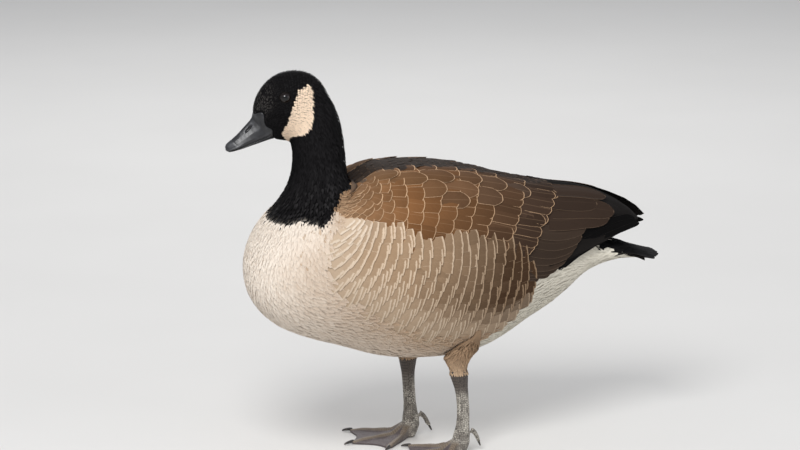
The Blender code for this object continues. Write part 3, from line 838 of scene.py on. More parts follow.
@dataclass
class RingGuide:
    """Planes that cross the body in order, from which the outer surface is read by ray casts."""

    rings: np.ndarray
    nodes: tuple[str, ...]
    join: float = 0.0028
    turned: bool = True
    most_cuts: int = 8

    def __post_init__(self) -> None:
        self.tree = node_tree_of(*self.nodes)

    def frames(self, stations: np.ndarray) -> tuple[np.ndarray, np.ndarray, np.ndarray]:
        """Middle, half-height vector and half-width vector of the rings at some stations.

        Args:
            stations: Where along the rings.

        Returns:
            Middles, half-height vectors and half-width vectors, one row each.
        """
        rows = curve_through(self.rings, stations)
        back = np.stack([rows[:, 0], 0 * rows[:, 0], rows[:, 1]], axis=1)
        belly = np.stack([rows[:, 2], 0 * rows[:, 0], rows[:, 3]], axis=1)
        wide = np.stack([0 * rows[:, 4], -rows[:, 4], 0 * rows[:, 4]], axis=1)
        middle, tall = (back + belly) / 2, (back - belly) / 2
        if not self.turned:
            return middle + DRAWING_SHIFT, tall, wide
        share = 1 - smoothstep(stations, STATIONS["upper_neck"], STATIONS["neck_root"])
        cos, sin = np.cos(HEAD_TURN * share), np.sin(-HEAD_TURN * share)
        axis = np.array([NECK_AXIS_X, 0.0, 0.0])
        turned = []
        for vectors in (middle - axis, tall, wide):
            x, y, z = vectors.T
            turned.append(np.stack([cos * x - sin * y, sin * x + cos * y, z], axis=1))
        middle, tall, wide = turned
        return middle + axis + DRAWING_SHIFT, tall, wide

    def cast(self, stations: np.ndarray, angles: np.ndarray,
             last: bool) -> tuple[np.ndarray, np.ndarray, np.ndarray]:
        """Casts a ray at each station and angle.

        Args:
            stations: Where along the rings.
            angles: Turn from the back line, in radians.
            last: Whether to go on to the last surface.

        Returns:
            The rings' middles, the rays, and how far each reaches, nan where nothing is met.
        """
        middle, tall, wide = self.frames(stations)
        rays = np.cos(angles)[None, :, None] * tall[:, None] + np.sin(angles)[None, :, None] * wide[:, None]
        reach = [[self.reach(origin, ray, last) for ray in row] for origin, row in zip(middle, rays)]
        return middle, rays, np.array(reach)

    def reach(self, origin: np.ndarray, ray: np.ndarray, last: bool) -> float:
        """How far along a ray the solid ends, crossing thin cuts between nodes.

        Args:
            origin: A point inside.
            ray: The direction, whose length is the unit of the answer.
            last: Whether to go on to the last surface, however wide the gaps.

        Returns:
            The distance as a share of the ray's length, or nan where nothing is met.
        """
        direction = Vector(ray).normalized()
        middle, skip = Vector(origin), direction * 1e-5
        start, found = middle, math.nan
        gap = 1.0 if last else self.join
        limit = 3.0
        for _ in range(self.most_cuts):
            leave = self.tree.ray_cast(start, direction, limit)[0]
            if leave is None:
                break
            found = (leave - middle).length
            enter = self.tree.ray_cast(leave + skip, direction, gap)[0]
            if enter is None:
                break
            start = enter + skip
            limit = 1.0
            if last:
                found = (enter - middle).length
        return found / float(np.linalg.norm(ray))


@dataclass
class Surface:
    """A smooth grid over the bird, read by station along it and angle round it."""

    stations: np.ndarray
    angles: np.ndarray
    points: np.ndarray
    closed: bool

    def __post_init__(self) -> None:
        along = np.gradient(self.points, axis=0)
        if self.closed:
            across = (np.roll(self.points, -1, 1) - np.roll(self.points, 1, 1)) / 2
        else:
            across = np.gradient(self.points, axis=1)
        self.normals = unit(np.cross(along, across))
        middle = self.points.mean(axis=1, keepdims=True)
        if ((self.points - middle) * self.normals).sum() < 0:
            self.normals = -self.normals
        self.lie = unit(along)

    def tree(self) -> BVHTree:
        """A search tree, whose faces are numbered by row and column.

        Returns:
            The tree.
        """
        rows, columns = self.points.shape[:2]
        points = [Vector(point) for point in self.points.reshape(-1, 3)]
        return BVHTree.FromPolygons(points, grid_faces(rows, columns, self.closed))

    def place(self, station: np.ndarray, angle: np.ndarray) -> tuple[np.ndarray, np.ndarray]:
        """Fractional row and column of a station and angle.

        Args:
            station: Stations.
            angle: Angles in radians.

        Returns:
            Row and column numbers.
        """
        row = np.interp(station, self.stations, np.arange(len(self.stations)))
        step = self.angles[1] - self.angles[0]
        column = (angle - self.angles[0]) / step
        return row, column

    def read(self, grid: np.ndarray, station: np.ndarray, angle: np.ndarray) -> np.ndarray:
        """Values of a grid at stations and angles, with straight lines between its nodes.

        Args:
            grid: Values by row and column.
            station: Stations.
            angle: Angles in radians.

        Returns:
            One value or row for each place.
        """
        row, column = self.place(station, angle)
        rows, columns = grid.shape[:2]
        i = np.clip(np.floor(row).astype(int), 0, rows - 2)
        j = np.floor(column).astype(int)
        if not self.closed:
            j = np.clip(j, 0, columns - 2)
        s, t = row - i, column - j
        j0, j1 = (j % columns, (j + 1) % columns) if self.closed else (j, j + 1)
        if grid.ndim == 3:
            s, t = s[:, None], t[:, None]
        return ((1 - s) * (1 - t) * grid[i, j0] + (1 - s) * t * grid[i, j1]
                + s * (1 - t) * grid[i + 1, j0] + s * t * grid[i + 1, j1])


def filled(reach: np.ndarray, angles: np.ndarray, least: int, period: Optional[float]) -> np.ndarray:
    """Fills in the rays that met nothing.

    Args:
        reach: One row of reaches for each station, nan where nothing was met.
        angles: The rays' angles.
        least: How many of a row's rays have to meet something for the row to count.
        period: The angle after which a row repeats, or None.

    Returns:
        Rows filled from their neighbours in angle, or copied from the row before.
    """
    result = reach.copy()
    for i, row in enumerate(result):
        good = ~np.isnan(row)
        if good.sum() >= least:
            row[~good] = np.interp(angles[~good], angles[good], row[good], period=period)
        elif i:
            row[:] = result[i - 1]
    return result


def body_surface(rows: int = 312, columns: int = 144) -> Surface:
    """Reads head, neck, trunk and the wings on it as one smooth closed grid.

    Args:
        rows: Rows along the body.
        columns: Columns round it.

    Returns:
        The outer surface, which the coat reaches.
    """
    guide = RingGuide(np.array(list(BODY_RINGS.values())),
                      ("trunk", "neck", "head", "eye_left", "eye_right", "wing_left", "wing_right", "tail"))
    fine = np.linspace(0.10, STATIONS["mid_tail"], 1200)
    middle, tall, _ = guide.frames(fine)
    lines = [middle, middle + tall, middle - tall]
    steps = sum(np.linalg.norm(np.diff(line, axis=0), axis=1) for line in lines) / len(lines)
    travelled = np.concatenate([[0.0], np.cumsum(steps)])
    stations = np.interp(np.linspace(0.0, travelled[-1], rows), travelled, fine)
    angles = np.arange(columns) * FULL_TURN / columns
    middle, rays, reach = guide.cast(stations, angles, False)
    reach = filled(np.where((reach > 0.6) & (reach < 1.3), reach, np.nan), angles, 8, FULL_TURN)
    points = middle[:, None] + rays * reach[:, :, None]
    return Surface(stations, angles, blurred(points, 7, True), True)


def wing_surface(side: str, rows: int = 150, columns: int = 72) -> Surface:
    """Reads the outer side of one folded wing, from the shoulder to beyond its tip.

    Args:
        side: Left or right.
        rows: Rows along the wing.
        columns: Columns down it.

    Returns:
        The wing's outer surface.
    """
    body = np.array(list(BODY_RINGS.values()))
    first, last = int(STATIONS["crop"]), int(STATIONS["hind_vent"])
    rings = np.vstack([body[first:last + 1], np.array(WING_REAR_RINGS)])
    rings[:, 4] *= -SIDES[side]
    guide = RingGuide(rings, (f"wing_{side}",), turned=False)
    stations = np.linspace(first + 0.7, first + len(rings) - 1.0, rows)
    angles = np.linspace(math.radians(-6.0), math.radians(136.0), columns)
    middle, rays, reach = guide.cast(stations - first, angles, True)
    reach = np.clip(filled(reach, angles, 1, None), 0.8, 1.2)
    reach = blurred(reach[:, :, None], 4, False)
    return Surface(stations, angles, middle[:, None] + rays * reach, False)


class Markings:
    """Where the colours of a Canada goose lie, by station along the body and angle from the back line."""

    # Stations of edges, by degrees from the back line.
    NECK_EDGE = ((0, 11.6), (45, 11.5), (59, 11.15), (67, 11.62), (75, 12.37), (89, 13.12), (97, 13.12),
                 (109, 12.42), (124, 12.05), (180, 12.0))
    CHEEK_FRONT = ((38, 5.50), (42, 5.36), (52, 4.96), (60, 4.61), (68, 4.51), (77, 4.36), (88, 4.16),
                   (100, 3.71), (113, 3.16), (124, 2.25), (132, 1.80), (150, 2.20), (180, 2.40))
    CHEEK_REAR = ((38, 5.40), (43, 5.51), (49, 5.71), (56, 5.86), (66, 6.01), (76, 6.16), (86, 6.46),
                  (94, 6.66), (101, 6.66), (108, 6.51), (116, 6.16), (124, 5.66), (134, 4.71), (140, 3.80),
                  (150, 3.20), (180, 3.10))
    VENT_FRONT = ((0, 26.4), (60, 25.6), (94, 22.9), (105, 23.1), (119, 23.0), (129, 22.5), (136, 21.8),
                  (150, 21.3), (180, 21.0))
    # Degrees of edges, by station.
    WING_TOP = ((11.5, 34), (13.0, 24), (14.5, 15), (17.0, 12), (24.0, 12), (26.0, 14))
    WING_EDGE = ((11.6, 80), (13.0, 78), (14.6, 73), (16.3, 70), (17.5, 77), (18.1, 80), (18.9, 74),
                 (20.0, 73), (21.1, 72), (21.9, 78), (22.3, 88), (24.0, 100))
    TAIL_BLACK = ((26.7, 48), (27.05, 66), (28.15, 70), (29.0, 94), (30.0, 112), (30.8, 180))

    BLACK = np.array([0.0070, 0.0066, 0.0070])
    CHEEK = np.array([0.670, 0.530, 0.400])
    # Warm off-white, dulled a little as painted shade.
    SHADED_WHITE = np.array([0.760, 0.715, 0.610])
    CREAM = np.array([0.780, 0.700, 0.600])
    TAN = np.array([0.400, 0.300, 0.215])
    BROWN = np.array([0.125, 0.082, 0.058])
    # The back's dark brown, darkened further as painted shade.
    SHADED_MANTLE = np.array([0.017, 0.0108, 0.0074])
    UNDER_COVERTS = ((0.26, 0.17, 0.11), (0.20, 0.105, 0.06), (0.06, 0.045, 0.037))

    @classmethod
    def neck_part(cls, station: np.ndarray, degrees: np.ndarray) -> np.ndarray:
        """1 on the black neck and head, 0 on the body, with a soft step between."""
        return 1.0 - smoothstep(station - table_value(cls.NECK_EDGE, degrees), -0.22, 0.22)

    @classmethod
    def cheek_part(cls, station: np.ndarray, degrees: np.ndarray) -> np.ndarray:
        """1 on the pale cheek and chin strap."""
        inside = np.minimum(station - table_value(cls.CHEEK_FRONT, degrees),
                            table_value(cls.CHEEK_REAR, degrees) - station)
        return smoothstep(inside, -0.05, 0.12) * smoothstep(degrees, 36.0, 40.0)

    @classmethod
    def vent_part(cls, station: np.ndarray, degrees: np.ndarray) -> np.ndarray:
        """1 on the white under-tail and upper-tail feathers."""
        return smoothstep(station - table_value(cls.VENT_FRONT, degrees), -0.20, 0.20)

    @classmethod
    def tail_part(cls, station: np.ndarray, degrees: np.ndarray) -> np.ndarray:
        """1 where the sides of the black tail start, over the white."""
        sides = (degrees > 26.0) & (degrees < table_value(cls.TAIL_BLACK, station)) & (station > 26.6)
        return np.maximum(sides.astype(float), smoothstep(station, 28.4, 28.8) * (degrees < 92.0))

    @staticmethod
    def brownness(station: np.ndarray, degrees: np.ndarray) -> np.ndarray:
        """How brown the body is, from 0 on the breast and belly to 1 on the hind flank.

        Args:
            station: Stations along the body.
            degrees: Degrees from the back line.

        Returns:
            The share of brown.
        """
        side = 1.0 - smoothstep(degrees, 104.0, 162.0)
        behind = smoothstep(station, 15.2, 24.0)
        fore = smoothstep(station, 11.8, 15.0)
        nape = (1.0 - smoothstep(degrees, 74.0, 98.0)) * (1.0 - smoothstep(station, 15.0, 17.0))
        tan = 0.26 * side * fore + 0.10 * smoothstep(station, 13.0, 18.0)
        return np.clip(0.02 + tan + 0.80 * behind * (0.30 + 0.70 * side) + 0.28 * nape, 0.0, 1.0)

    @classmethod
    def skin_colour(cls, station: np.ndarray, degrees: np.ndarray) -> np.ndarray:
        """The base colour of skin and down at each place.

        Args:
            station: Stations along the body.
            degrees: Degrees from the back line.

        Returns:
            Colours, one row for each place.
        """
        body = ramp((cls.CREAM, cls.TAN, cls.BROWN), cls.brownness(station, degrees))
        wing = (station > table_value(cls.NECK_EDGE, degrees)) & (station > 10.6)
        wing &= degrees < table_value(cls.WING_EDGE, station)
        coverts = ramp(cls.UNDER_COVERTS, np.clip((station - 13.0) / 10.0, 0, 1))
        body = np.where(wing[..., None], coverts, body)
        # The skin at the shoulder fold and along the back takes the back's colour, which carries painted
        # shade.
        fold = (1.0 - smoothstep(degrees, 68.0, 76.0)) * (1.0 - smoothstep(station, 12.0, 12.8))
        body = tinted(body, cls.SHADED_MANTLE * 2.0, fold)
        mantle = (1.0 - smoothstep(degrees, 14.0, 24.0)) * smoothstep(station, 10.6, 11.2)
        body = tinted(body, cls.SHADED_MANTLE, mantle)
        body = tinted(body, cls.SHADED_WHITE, cls.vent_part(station, degrees))
        body = tinted(body, cls.BLACK, cls.tail_part(station, degrees))
        neck = tinted(cls.BLACK, cls.CHEEK, cls.cheek_part(station, degrees))
        return tinted(body, neck, cls.neck_part(station, degrees))


@dataclass
class Plumage:
    """Feathers to grow: one row per feather, in equal-length arrays."""

    root: np.ndarray
    up: np.ndarray
    lie: np.ndarray
    station: np.ndarray
    degrees: np.ndarray
    signed: np.ndarray
    uv: np.ndarray
    values: dict = field(default_factory=dict)

    PLACES = ("root", "up", "lie", "station", "degrees", "signed", "uv")

    @property
    def count(self) -> int:
        """How many feathers."""
        return len(self.root)

    def keep(self, mask: np.ndarray) -> "Plumage":
        """Only the feathers where the mask holds.

        Args:
            mask: True for each feather that stays.

        Returns:
            The feathers that stay.
        """
        places = [getattr(self, name)[mask] for name in self.PLACES]
        values = {name: value[mask] for name, value in self.values.items()}
        return Plumage(*places, values)

    @classmethod
    def joined(cls, parts: Sequence["Plumage"]) -> "Plumage":
        """Several sets of feathers as one.

        Args:
            parts: The sets, all with the same values.

        Returns:
            The joined set.
        """
        places = [np.concatenate([getattr(part, name) for part in parts]) for name in cls.PLACES]
        values = {key: np.concatenate([part.values[key] for part in parts]) for key in parts[0].values}
        return cls(*places, values)

    def turn(self, radians: np.ndarray) -> None:
        """Turns the feathers' lie about their normals, towards the back where positive.

        Args:
            radians: How far each feather turns.
        """
        side = np.cross(self.up, self.lie)
        angle = radians * np.sign(self.signed)
        self.lie = unit(self.lie * np.cos(angle)[:, None] + side * np.sin(angle)[:, None])


def rows_of_feathers(surface: Surface, row_values: Sequence[float], lean: Callable, gap: Callable,
                     span: tuple[float, float], rng: np.random.Generator, jitter: float,
                     to_uv: Callable) -> Plumage:
    """Spaces roots along rows that run round the body, every second row shifted by half a gap.

    Args:
        surface: The grid the roots stand on.
        row_values: Station of each row at an angle of 90 degrees.
        lean: Gives a row's station shift for a row value and degrees from the back line.
        gap: Gives the spacing along a row for a row value, in metres.
        span: First and last signed degrees.
        rng: The seeded random source.
        jitter: Random shift as a share of the gap.
        to_uv: Gives the map place for stations and signed degrees.

    Returns:
        The feathers' places.
    """
    stations, signed = [], []
    for k, value in enumerate(row_values):
        degrees = np.linspace(span[0], span[1], 721)
        station = value + lean(value, np.abs(degrees))
        line = surface.read(surface.points, station, np.radians(degrees))
        travelled = np.concatenate([[0.0], np.cumsum(np.linalg.norm(np.diff(line, axis=0), axis=1))])
        spacing = gap(value)
        count = int(travelled[-1] / spacing)
        if not count:
            continue
        places = (np.arange(count) + (0.25 if k % 2 else 0.75)) * travelled[-1] / count
        places = places + rng.uniform(-jitter, jitter, count) * spacing
        here = np.interp(places, travelled, degrees)
        signed.append(here)
        local_step = (row_values[min(k + 1, len(row_values) - 1)] - row_values[max(k - 1, 0)]) / 2
        stagger = rng.uniform(-jitter, jitter, count) * local_step * 0.6
        stations.append(value + lean(value, np.abs(here)) + stagger)
    station, signed_all = np.concatenate(stations), np.concatenate(signed)
    angle = np.radians(signed_all)
    up = unit(surface.read(surface.normals, station, angle))
    lie = surface.read(surface.lie, station, angle)
    lie = unit(lie - up * (lie * up).sum(axis=1, keepdims=True))
    root = surface.read(surface.points, station, angle)
    return Plumage(root, up, lie, station, np.abs(signed_all), signed_all, to_uv(station, signed_all))


def stepped(surface: Surface, first: float, last: float, step: Callable,
            degrees: float = 90.0) -> list[float]:
    """Row stations between two stations, at a spacing in metres that may change along the way.

    Args:
        surface: The grid.
        first: Station of the first row.
        last: Station that no row lies beyond.
        step: Gives the spacing at a station.
        degrees: The angle at which it is measured.

    Returns:
        The rows' stations.
    """
    fine = np.linspace(first, last, 1500)
    line = surface.read(surface.points, fine, np.full(len(fine), math.radians(degrees)))
    lengths = np.linalg.norm(np.diff(line, axis=0), axis=1) / np.array([step(s) for s in fine[1:]])
    travelled = np.concatenate([[0.0], np.cumsum(lengths)])
    return list(np.interp(np.arange(0.0, travelled[-1]), travelled, fine))


class FeatherGrower:
    """Grows vanes with Geometry Nodes: a small grid on every root, bent over the skin below."""

    VECTORS = ("root", "up", "lie", "root_uv")
    # What only shapes a vane is dropped from the finished mesh. The rest is read by the finish.
    SHAPING = ("low", "high", "camber", "taper", "tip", "ragged", "roll")
    NUMBERS = SHAPING + ("long", "wide", "rim", "side_rim", "shaft")
    COLOURS = ("vane_colour", "rim_colour")
    DEFAULTS = {"side_rim": 2.0}
    SOCKETS = {"Roots": "Geometry", "Ground": "Object", "Across": "Int", "Along": "Int", "Patch": "Float",
               "Seed": "Int", "Finish": "Material"}

    def __init__(self, surface: Surface, finish: Finish) -> None:
        self.finish = finish
        rows, columns = surface.points.shape[:2]
        faces = grid_faces(rows, columns, surface.closed)
        self.target = new_piece("feather_ground", surface.points.reshape(-1, 3), faces, finish)
        layer = self.target.data.attributes.new("ground_up", "FLOAT_VECTOR", "POINT")
        layer.data.foreach_set("vector", surface.normals.reshape(-1).astype(np.float32))
        self.tree = self._tree()

    def _tree(self) -> bpy.types.NodeTree:
        """The node group, with its named inputs.

        Returns:
            The node group.
        """
        tree = bpy.data.node_groups.new("grow_feathers", "GeometryNodeTree")
        tree.is_modifier = True
        for name, kind in self.SOCKETS.items():
            tree.interface.new_socket(name, in_out="INPUT", socket_type=f"NodeSocket{kind}")
        tree.interface.new_socket("Feathers", in_out="OUTPUT", socket_type="NodeSocketGeometry")
        graph = Graph(tree)
        given = graph.node("NodeGroupInput")
        inputs = {socket.name: Value(graph, socket) for socket in given.outputs if socket.name}
        named = {name: self._named(graph, name, "FLOAT_VECTOR") for name in self.VECTORS}
        named |= {name: self._named(graph, name, "FLOAT") for name in self.NUMBERS + ("across", "along")}
        vane = self._vane(graph, inputs)
        planted = {"Points": inputs["Roots"], "Instance": vane}
        placed = graph.out("GeometryNodeInstanceOnPoints", None, planted)
        real = graph.out("GeometryNodeRealizeInstances", None, {"Geometry": placed})
        position = self._position(graph, inputs, named)
        moved = graph.out("GeometryNodeSetPosition", None, {"Geometry": real, "Position": position})
        patch_across = named["across"] * inputs["Patch"] * 0.5
        patch = graph.xyz(patch_across, (named["along"] - 0.5) * inputs["Patch"], 0.0)
        map_place = graph.vector("ADD", named["root_uv"], patch)
        mapped = graph.out("GeometryNodeStoreNamedAttribute", {"data_type": "FLOAT2", "domain": "CORNER"},
                           {"Geometry": moved, "Name": "OFBake", "Value": map_place})
        smooth = graph.out("GeometryNodeSetShadeSmooth", None, {"Geometry": mapped})
        dressing = {"Geometry": smooth, "Material": inputs["Finish"]}
        dressed = graph.out("GeometryNodeSetMaterial", None, dressing)
        result = graph.node("NodeGroupOutput")
        tree.links.new(dressed.socket, result.inputs[0])
        return tree

    @staticmethod
    def _named(graph: Graph, name: str, kind: str) -> Value:
        """Reads a named attribute."""
        return graph.out("GeometryNodeInputNamedAttribute", {"data_type": kind}, {"Name": name})

    @staticmethod
    def _vane(graph: Graph, inputs: dict) -> Value:
        """One flat vane, with its across (-1 to 1) and along (0 to 1) stored on it.

        Args:
            graph: The node group's tree.
            inputs: The group's inputs by name.

        Returns:
            The vane's geometry.
        """
        sizes = {"Size X": 2.0, "Size Y": 1.0, "Vertices X": inputs["Across"], "Vertices Y": inputs["Along"]}
        grid = graph.out("GeometryNodeMeshGrid", None, sizes)
        place = graph.node("ShaderNodeSeparateXYZ", None, {0: graph.out("GeometryNodeInputPosition")})
        across, along = Value(graph, place.outputs[0]), Value(graph, place.outputs[1]) + 0.5
        for name, value in (("across", across), ("along", along)):
            grid = graph.out("GeometryNodeStoreNamedAttribute", {"data_type": "FLOAT", "domain": "POINT"},
                             {"Geometry": grid, "Name": name, "Value": value})
        return grid

    @classmethod
    def _position(cls, graph: Graph, inputs: dict, named: dict) -> Value:
        """Where each point of each vane goes.

        Args:
            graph: The node group's tree.
            inputs: The group's inputs by name.
            named: The vanes' attributes by name.

        Returns:
            The points' positions.
        """
        u, v = named["across"], named["along"]
        half = named["wide"] * (v.step(-0.10, 0.42) * 0.75 + 0.25) * (1.0 - named["taper"] * v * v)
        size = abs(u)
        reach = v * (1.0 - named["tip"] * size**2.3)
        limits = {2: -1.0, 3: 1.0, "Seed": inputs["Seed"]}
        chance = graph.out("FunctionNodeRandomValue", {"data_type": "FLOAT"}, limits, 1)
        reach = reach + named["ragged"] * chance * v.step(0.45, 1.0)
        side = graph.vector("CROSS_PRODUCT", named["up"], named["lie"])
        flat = graph.vector("ADD", named["root"], graph.scaled(side, u * half))
        flat = graph.vector("ADD", flat, graph.scaled(named["lie"], reach * named["long"]))
        ground = graph.out("GeometryNodeObjectInfo", None, {"Object": inputs["Ground"]}, "Geometry")
        nearest = graph.out("GeometryNodeProximity", {"target_element": "FACES"},
                            {"Geometry": ground, "Sample Position": flat}, "Position")
        ground_up = cls._named(graph, "ground_up", "FLOAT_VECTOR")
        up = graph.out("GeometryNodeSampleNearestSurface", {"data_type": "FLOAT_VECTOR"},
                       {"Mesh": ground, "Value": ground_up, "Sample Position": flat})
        arch = named["camber"] * u * u * half * v.step(0.0, 0.5)
        height = named["low"] + (named["high"] - named["low"]) * v - arch
        height = height + named["roll"] * u * half
        return graph.vector("ADD", nearest, graph.scaled(up, height.most(0.0001)))

    def grow(self, name: str, plumage: Plumage, across: int, along: int, seed: int,
             patch: float = 0.003) -> bpy.types.Object:
        """Grows one coat piece.

        Args:
            name: The piece's name.
            plumage: The feathers.
            across: Points across a vane.
            along: Points along a vane.
            seed: For the ragged tips.
            patch: Size of each feather's patch in the bake map.

        Returns:
            The finished mesh object.
        """
        roots = bpy.data.meshes.new(name + "_roots")
        roots.from_pydata(plumage.root.tolist(), [], [])
        uv = np.zeros((plumage.count, 3))
        uv[:, :2] = plumage.uv
        vectors = {"root": plumage.root, "up": plumage.up, "lie": plumage.lie, "root_uv": uv}
        for key in self.VECTORS:
            layer = roots.attributes.new(key, "FLOAT_VECTOR", "POINT")
            layer.data.foreach_set("vector", vectors[key].astype(np.float32).ravel())
        for key in self.NUMBERS + self.COLOURS:
            value = plumage.values.get(key, self.DEFAULTS.get(key, 0.0))
            shape = (plumage.count, 3) if key in self.COLOURS else (plumage.count,)
            set_values(roots, key, np.broadcast_to(np.asarray(value, dtype=float), shape))
        grower = linked(name + "_grower", roots)
        modifier = grower.modifiers.new("grow", "NODES")
        modifier.node_group = self.tree
        given = {"Ground": self.target, "Across": across, "Along": along, "Patch": patch, "Seed": seed,
                 "Finish": self.finish.material()}
        for item in self.tree.interface.items_tree:
            if item.item_type == "SOCKET" and item.in_out == "INPUT" and item.name in given:
                modifier[item.identifier] = given[item.name]
        mesh = applied(grower).data
        mesh.name = name
        bpy.data.objects.remove(grower)
        for key in self.VECTORS + self.SHAPING:
            layer = mesh.attributes.get(key)
            if layer:
                mesh.attributes.remove(layer)
        return linked(name, mesh)

    def close(self) -> None:
        """Removes the helper the feathers were bent over."""
        bpy.data.objects.remove(self.target)


# How far the skin lies under the coat, by station.
COAT_DEPTH = ((0, 0.0006), (3, 0.0009), (6, 0.0014), (8, 0.0020), (12, 0.0028), (15, 0.0036), (24, 0.0036),
              (27, 0.0032), (29, 0.0020), (30, 0.0012), (32, 0.0006))
EYE_RADIUS = 0.0078


@dataclass
class Body:
    """Skin of head, neck and trunk, which runs on under the wings, and the feathers on it."""

    finishes: Finishes
    lid_across: float = 0.0073
    lid_tall: float = 0.0057
    lid_thickness: float = 0.0005
    socket_reach: float = 0.016
    map_round: float = 0.86
    map_widest: float = 0.4
    seed: int = 11

    LID_STEPS = 72
    FOLD_STEPS = 10
    LID_OUTSIDE = (0.021, 0.019, 0.018)
    LID_INSIDE = (0.012, 0.010, 0.009)

    def __post_init__(self) -> None:
        self.outer = body_surface()
        self.rng = np.random.default_rng(self.seed)
        depth = table_value(COAT_DEPTH, self.outer.stations)[:, None, None]
        inner = self.outer.points - self.outer.normals * depth
        self.eyes = {side: self._eye_frame(side) for side in SIDES}
        self.ground = Surface(self.outer.stations, self.outer.angles, blurred(inner, 2, True), True)
        travelled = np.linalg.norm(np.diff(self.ground.points.mean(axis=1), axis=0), axis=1)
        self.length = np.concatenate([[0.0], np.cumsum(travelled)]) / travelled.sum()

    @staticmethod
    def _eye_frame(side: str) -> dict:
        """Middle, outward, forward and up directions of one eye.

        Args:
            side: Left or right.

        Returns:
            The four vectors by name.
        """
        points = node_points(f"eye_{side}")
        middle = (points.min(axis=0) + points.max(axis=0)) / 2
        turn = Matrix.Rotation(-HEAD_TURN, 3, "Z")
        out = unit(np.array(turn @ Vector((-0.10, SIDES[side], 0.06))))
        ahead = np.array(turn @ Vector((-1.0, 0.0, -0.18)))
        ahead = unit(ahead - out * (ahead @ out))
        outermost = (points @ out).max()
        middle = middle + out * (outermost - EYE_RADIUS - middle @ out)
        return {"middle": middle, "out": out, "ahead": ahead, "up": unit(np.cross(out, ahead)) * -SIDES[side]}

    def uv(self, station: np.ndarray, degrees: np.ndarray) -> np.ndarray:
        """The bake map's place of a station and signed angle: round the body, and along it.

        Args:
            station: Stations along the body.
            degrees: Signed degrees from the back line.

        Returns:
            Map places, one row each.
        """
        u = np.mod(degrees, 360.0) / 360.0 * self.map_round + 0.02
        v = np.interp(station, self.ground.stations, self.length) * 0.96 + 0.02
        return np.stack([u, v], axis=-1)

    def opened(self, points: np.ndarray) -> np.ndarray:
        """Presses the eye openings into the skin and lays the rest over the eyeballs.

        Args:
            points: The skin's grid.

        Returns:
            The changed grid.
        """
        flat = points.reshape(-1, 3).copy()
        over_eye = EYE_RADIUS + self.lid_thickness
        for eye in self.eyes.values():
            away = flat - eye["middle"]
            ahead, up, out = away @ eye["ahead"], away @ eye["up"], away @ eye["out"]
            distance = np.maximum(np.linalg.norm(away, axis=1), 1e-6)
            near = (distance < self.socket_reach) & (out > 0)
            ring = np.hypot(ahead / self.lid_across, up / self.lid_tall)
            over = near & (ring >= 1.0) & (distance < over_eye)
            flat[over] = eye["middle"] + away[over] * (over_eye / distance[over])[:, None]
            inside = near & (ring < 1.0)
            flat[inside] -= eye["out"] * (0.0035 * (1 - ring[inside]) + 0.0022)[:, None]
        return flat.reshape(points.shape)

    def lid(self, side: str) -> tuple[np.ndarray, np.ndarray]:
        """The rim of the eye opening as a ring of small folds.

        Args:
            side: Left or right.

        Returns:
            Vertices and their colours.
        """
        eye = self.eyes[side]
        verts, colours = [], []
        for turn in np.linspace(0, FULL_TURN, self.LID_STEPS, endpoint=False):
            point = (eye["ahead"] * math.cos(turn) * (self.lid_across - 0.0002)
                     + eye["up"] * math.sin(turn) * (self.lid_tall - 0.0001 + 0.0004 * math.cos(turn)))
            outward = unit(point)
            lift = math.sqrt(max(EYE_RADIUS**2 - float(point @ point), 1e-9))
            radial = unit(point + eye["out"] * lift)
            middle = eye["middle"] + radial * (EYE_RADIUS + 0.0002)
            tangent = unit(outward - radial * float(outward @ radial))
            bead = 1.0 + 0.10 * math.sin(turn * 23.0)
            for t in np.linspace(0, FULL_TURN, self.FOLD_STEPS, endpoint=False):
                fold = radial * math.cos(t) * 0.00050 + tangent * (math.sin(t) * 0.00075 + 0.0004)
                verts.append(middle + fold * bead)
                colours.append(self.LID_OUTSIDE if math.sin(t) > -0.3 else self.LID_INSIDE)
        return np.array(verts), np.array(colours)

    def skin(self) -> bpy.types.Object:
        """One closed skin for all the flesh, with its colours and bake map.

        Returns:
            The skin's object.
        """
        rows, columns = self.ground.points.shape[:2]
        points = self.opened(self.ground.points)
        verts, faces = capped_grid(points, (points[0].mean(axis=0), points[-1].mean(axis=0)))
        obj = new_piece("skin", verts, faces, self.finishes.skin)
        station = np.concatenate([np.repeat(self.ground.stations, columns), self.ground.stations[[0, -1]]])
        signed = np.concatenate([np.degrees(np.tile(self.ground.angles, rows)), [90.0, 90.0]])
        degrees = np.abs((signed + 180.0) % 360.0 - 180.0)
        set_values(obj.data, "skin_colour", Markings.skin_colour(station, degrees))
        places = at_corners(obj.data, self.uv(station, signed))
        for polygon in obj.data.polygons:
            u = places[polygon.loop_start:polygon.loop_start + polygon.loop_total, 0]
            if np.ptp(u) > self.map_widest:
                u[u < self.map_widest] += self.map_round
        store_map(obj.data, places)
        return obj

    def add_lids(self, skin: bpy.types.Object) -> None:
        """Joins the lid rings to the skin.

        Args:
            skin: The skin's object.
        """
        work = bmesh.new()
        work.from_mesh(skin.data)
        colour = work.verts.layers.float_color["skin_colour"]
        uv = work.loops.layers.uv["OFBake"]
        for k, side in enumerate(SIDES):
            verts, colours = self.lid(side)
            made = []
            for point, tone in zip(verts, colours):
                vert = work.verts.new(point)
                vert[colour] = (*tone, 1.0)
                made.append(vert)
            for quad in grid_faces(self.LID_STEPS + 1, self.FOLD_STEPS, True):
                numbers = [n % len(made) for n in quad]
                face = work.faces.new([made[n] for n in numbers])
                face.smooth = True
                for loop, n in zip(face.loops, numbers):
                    row, column = divmod(n, self.FOLD_STEPS)
                    loop[uv].uv = (0.905 + 0.03 * k + column * 0.0025, 0.02 + row * 0.0012)
        bmesh.ops.recalc_face_normals(work, faces=work.faces)
        work.to_mesh(skin.data)
        work.free()

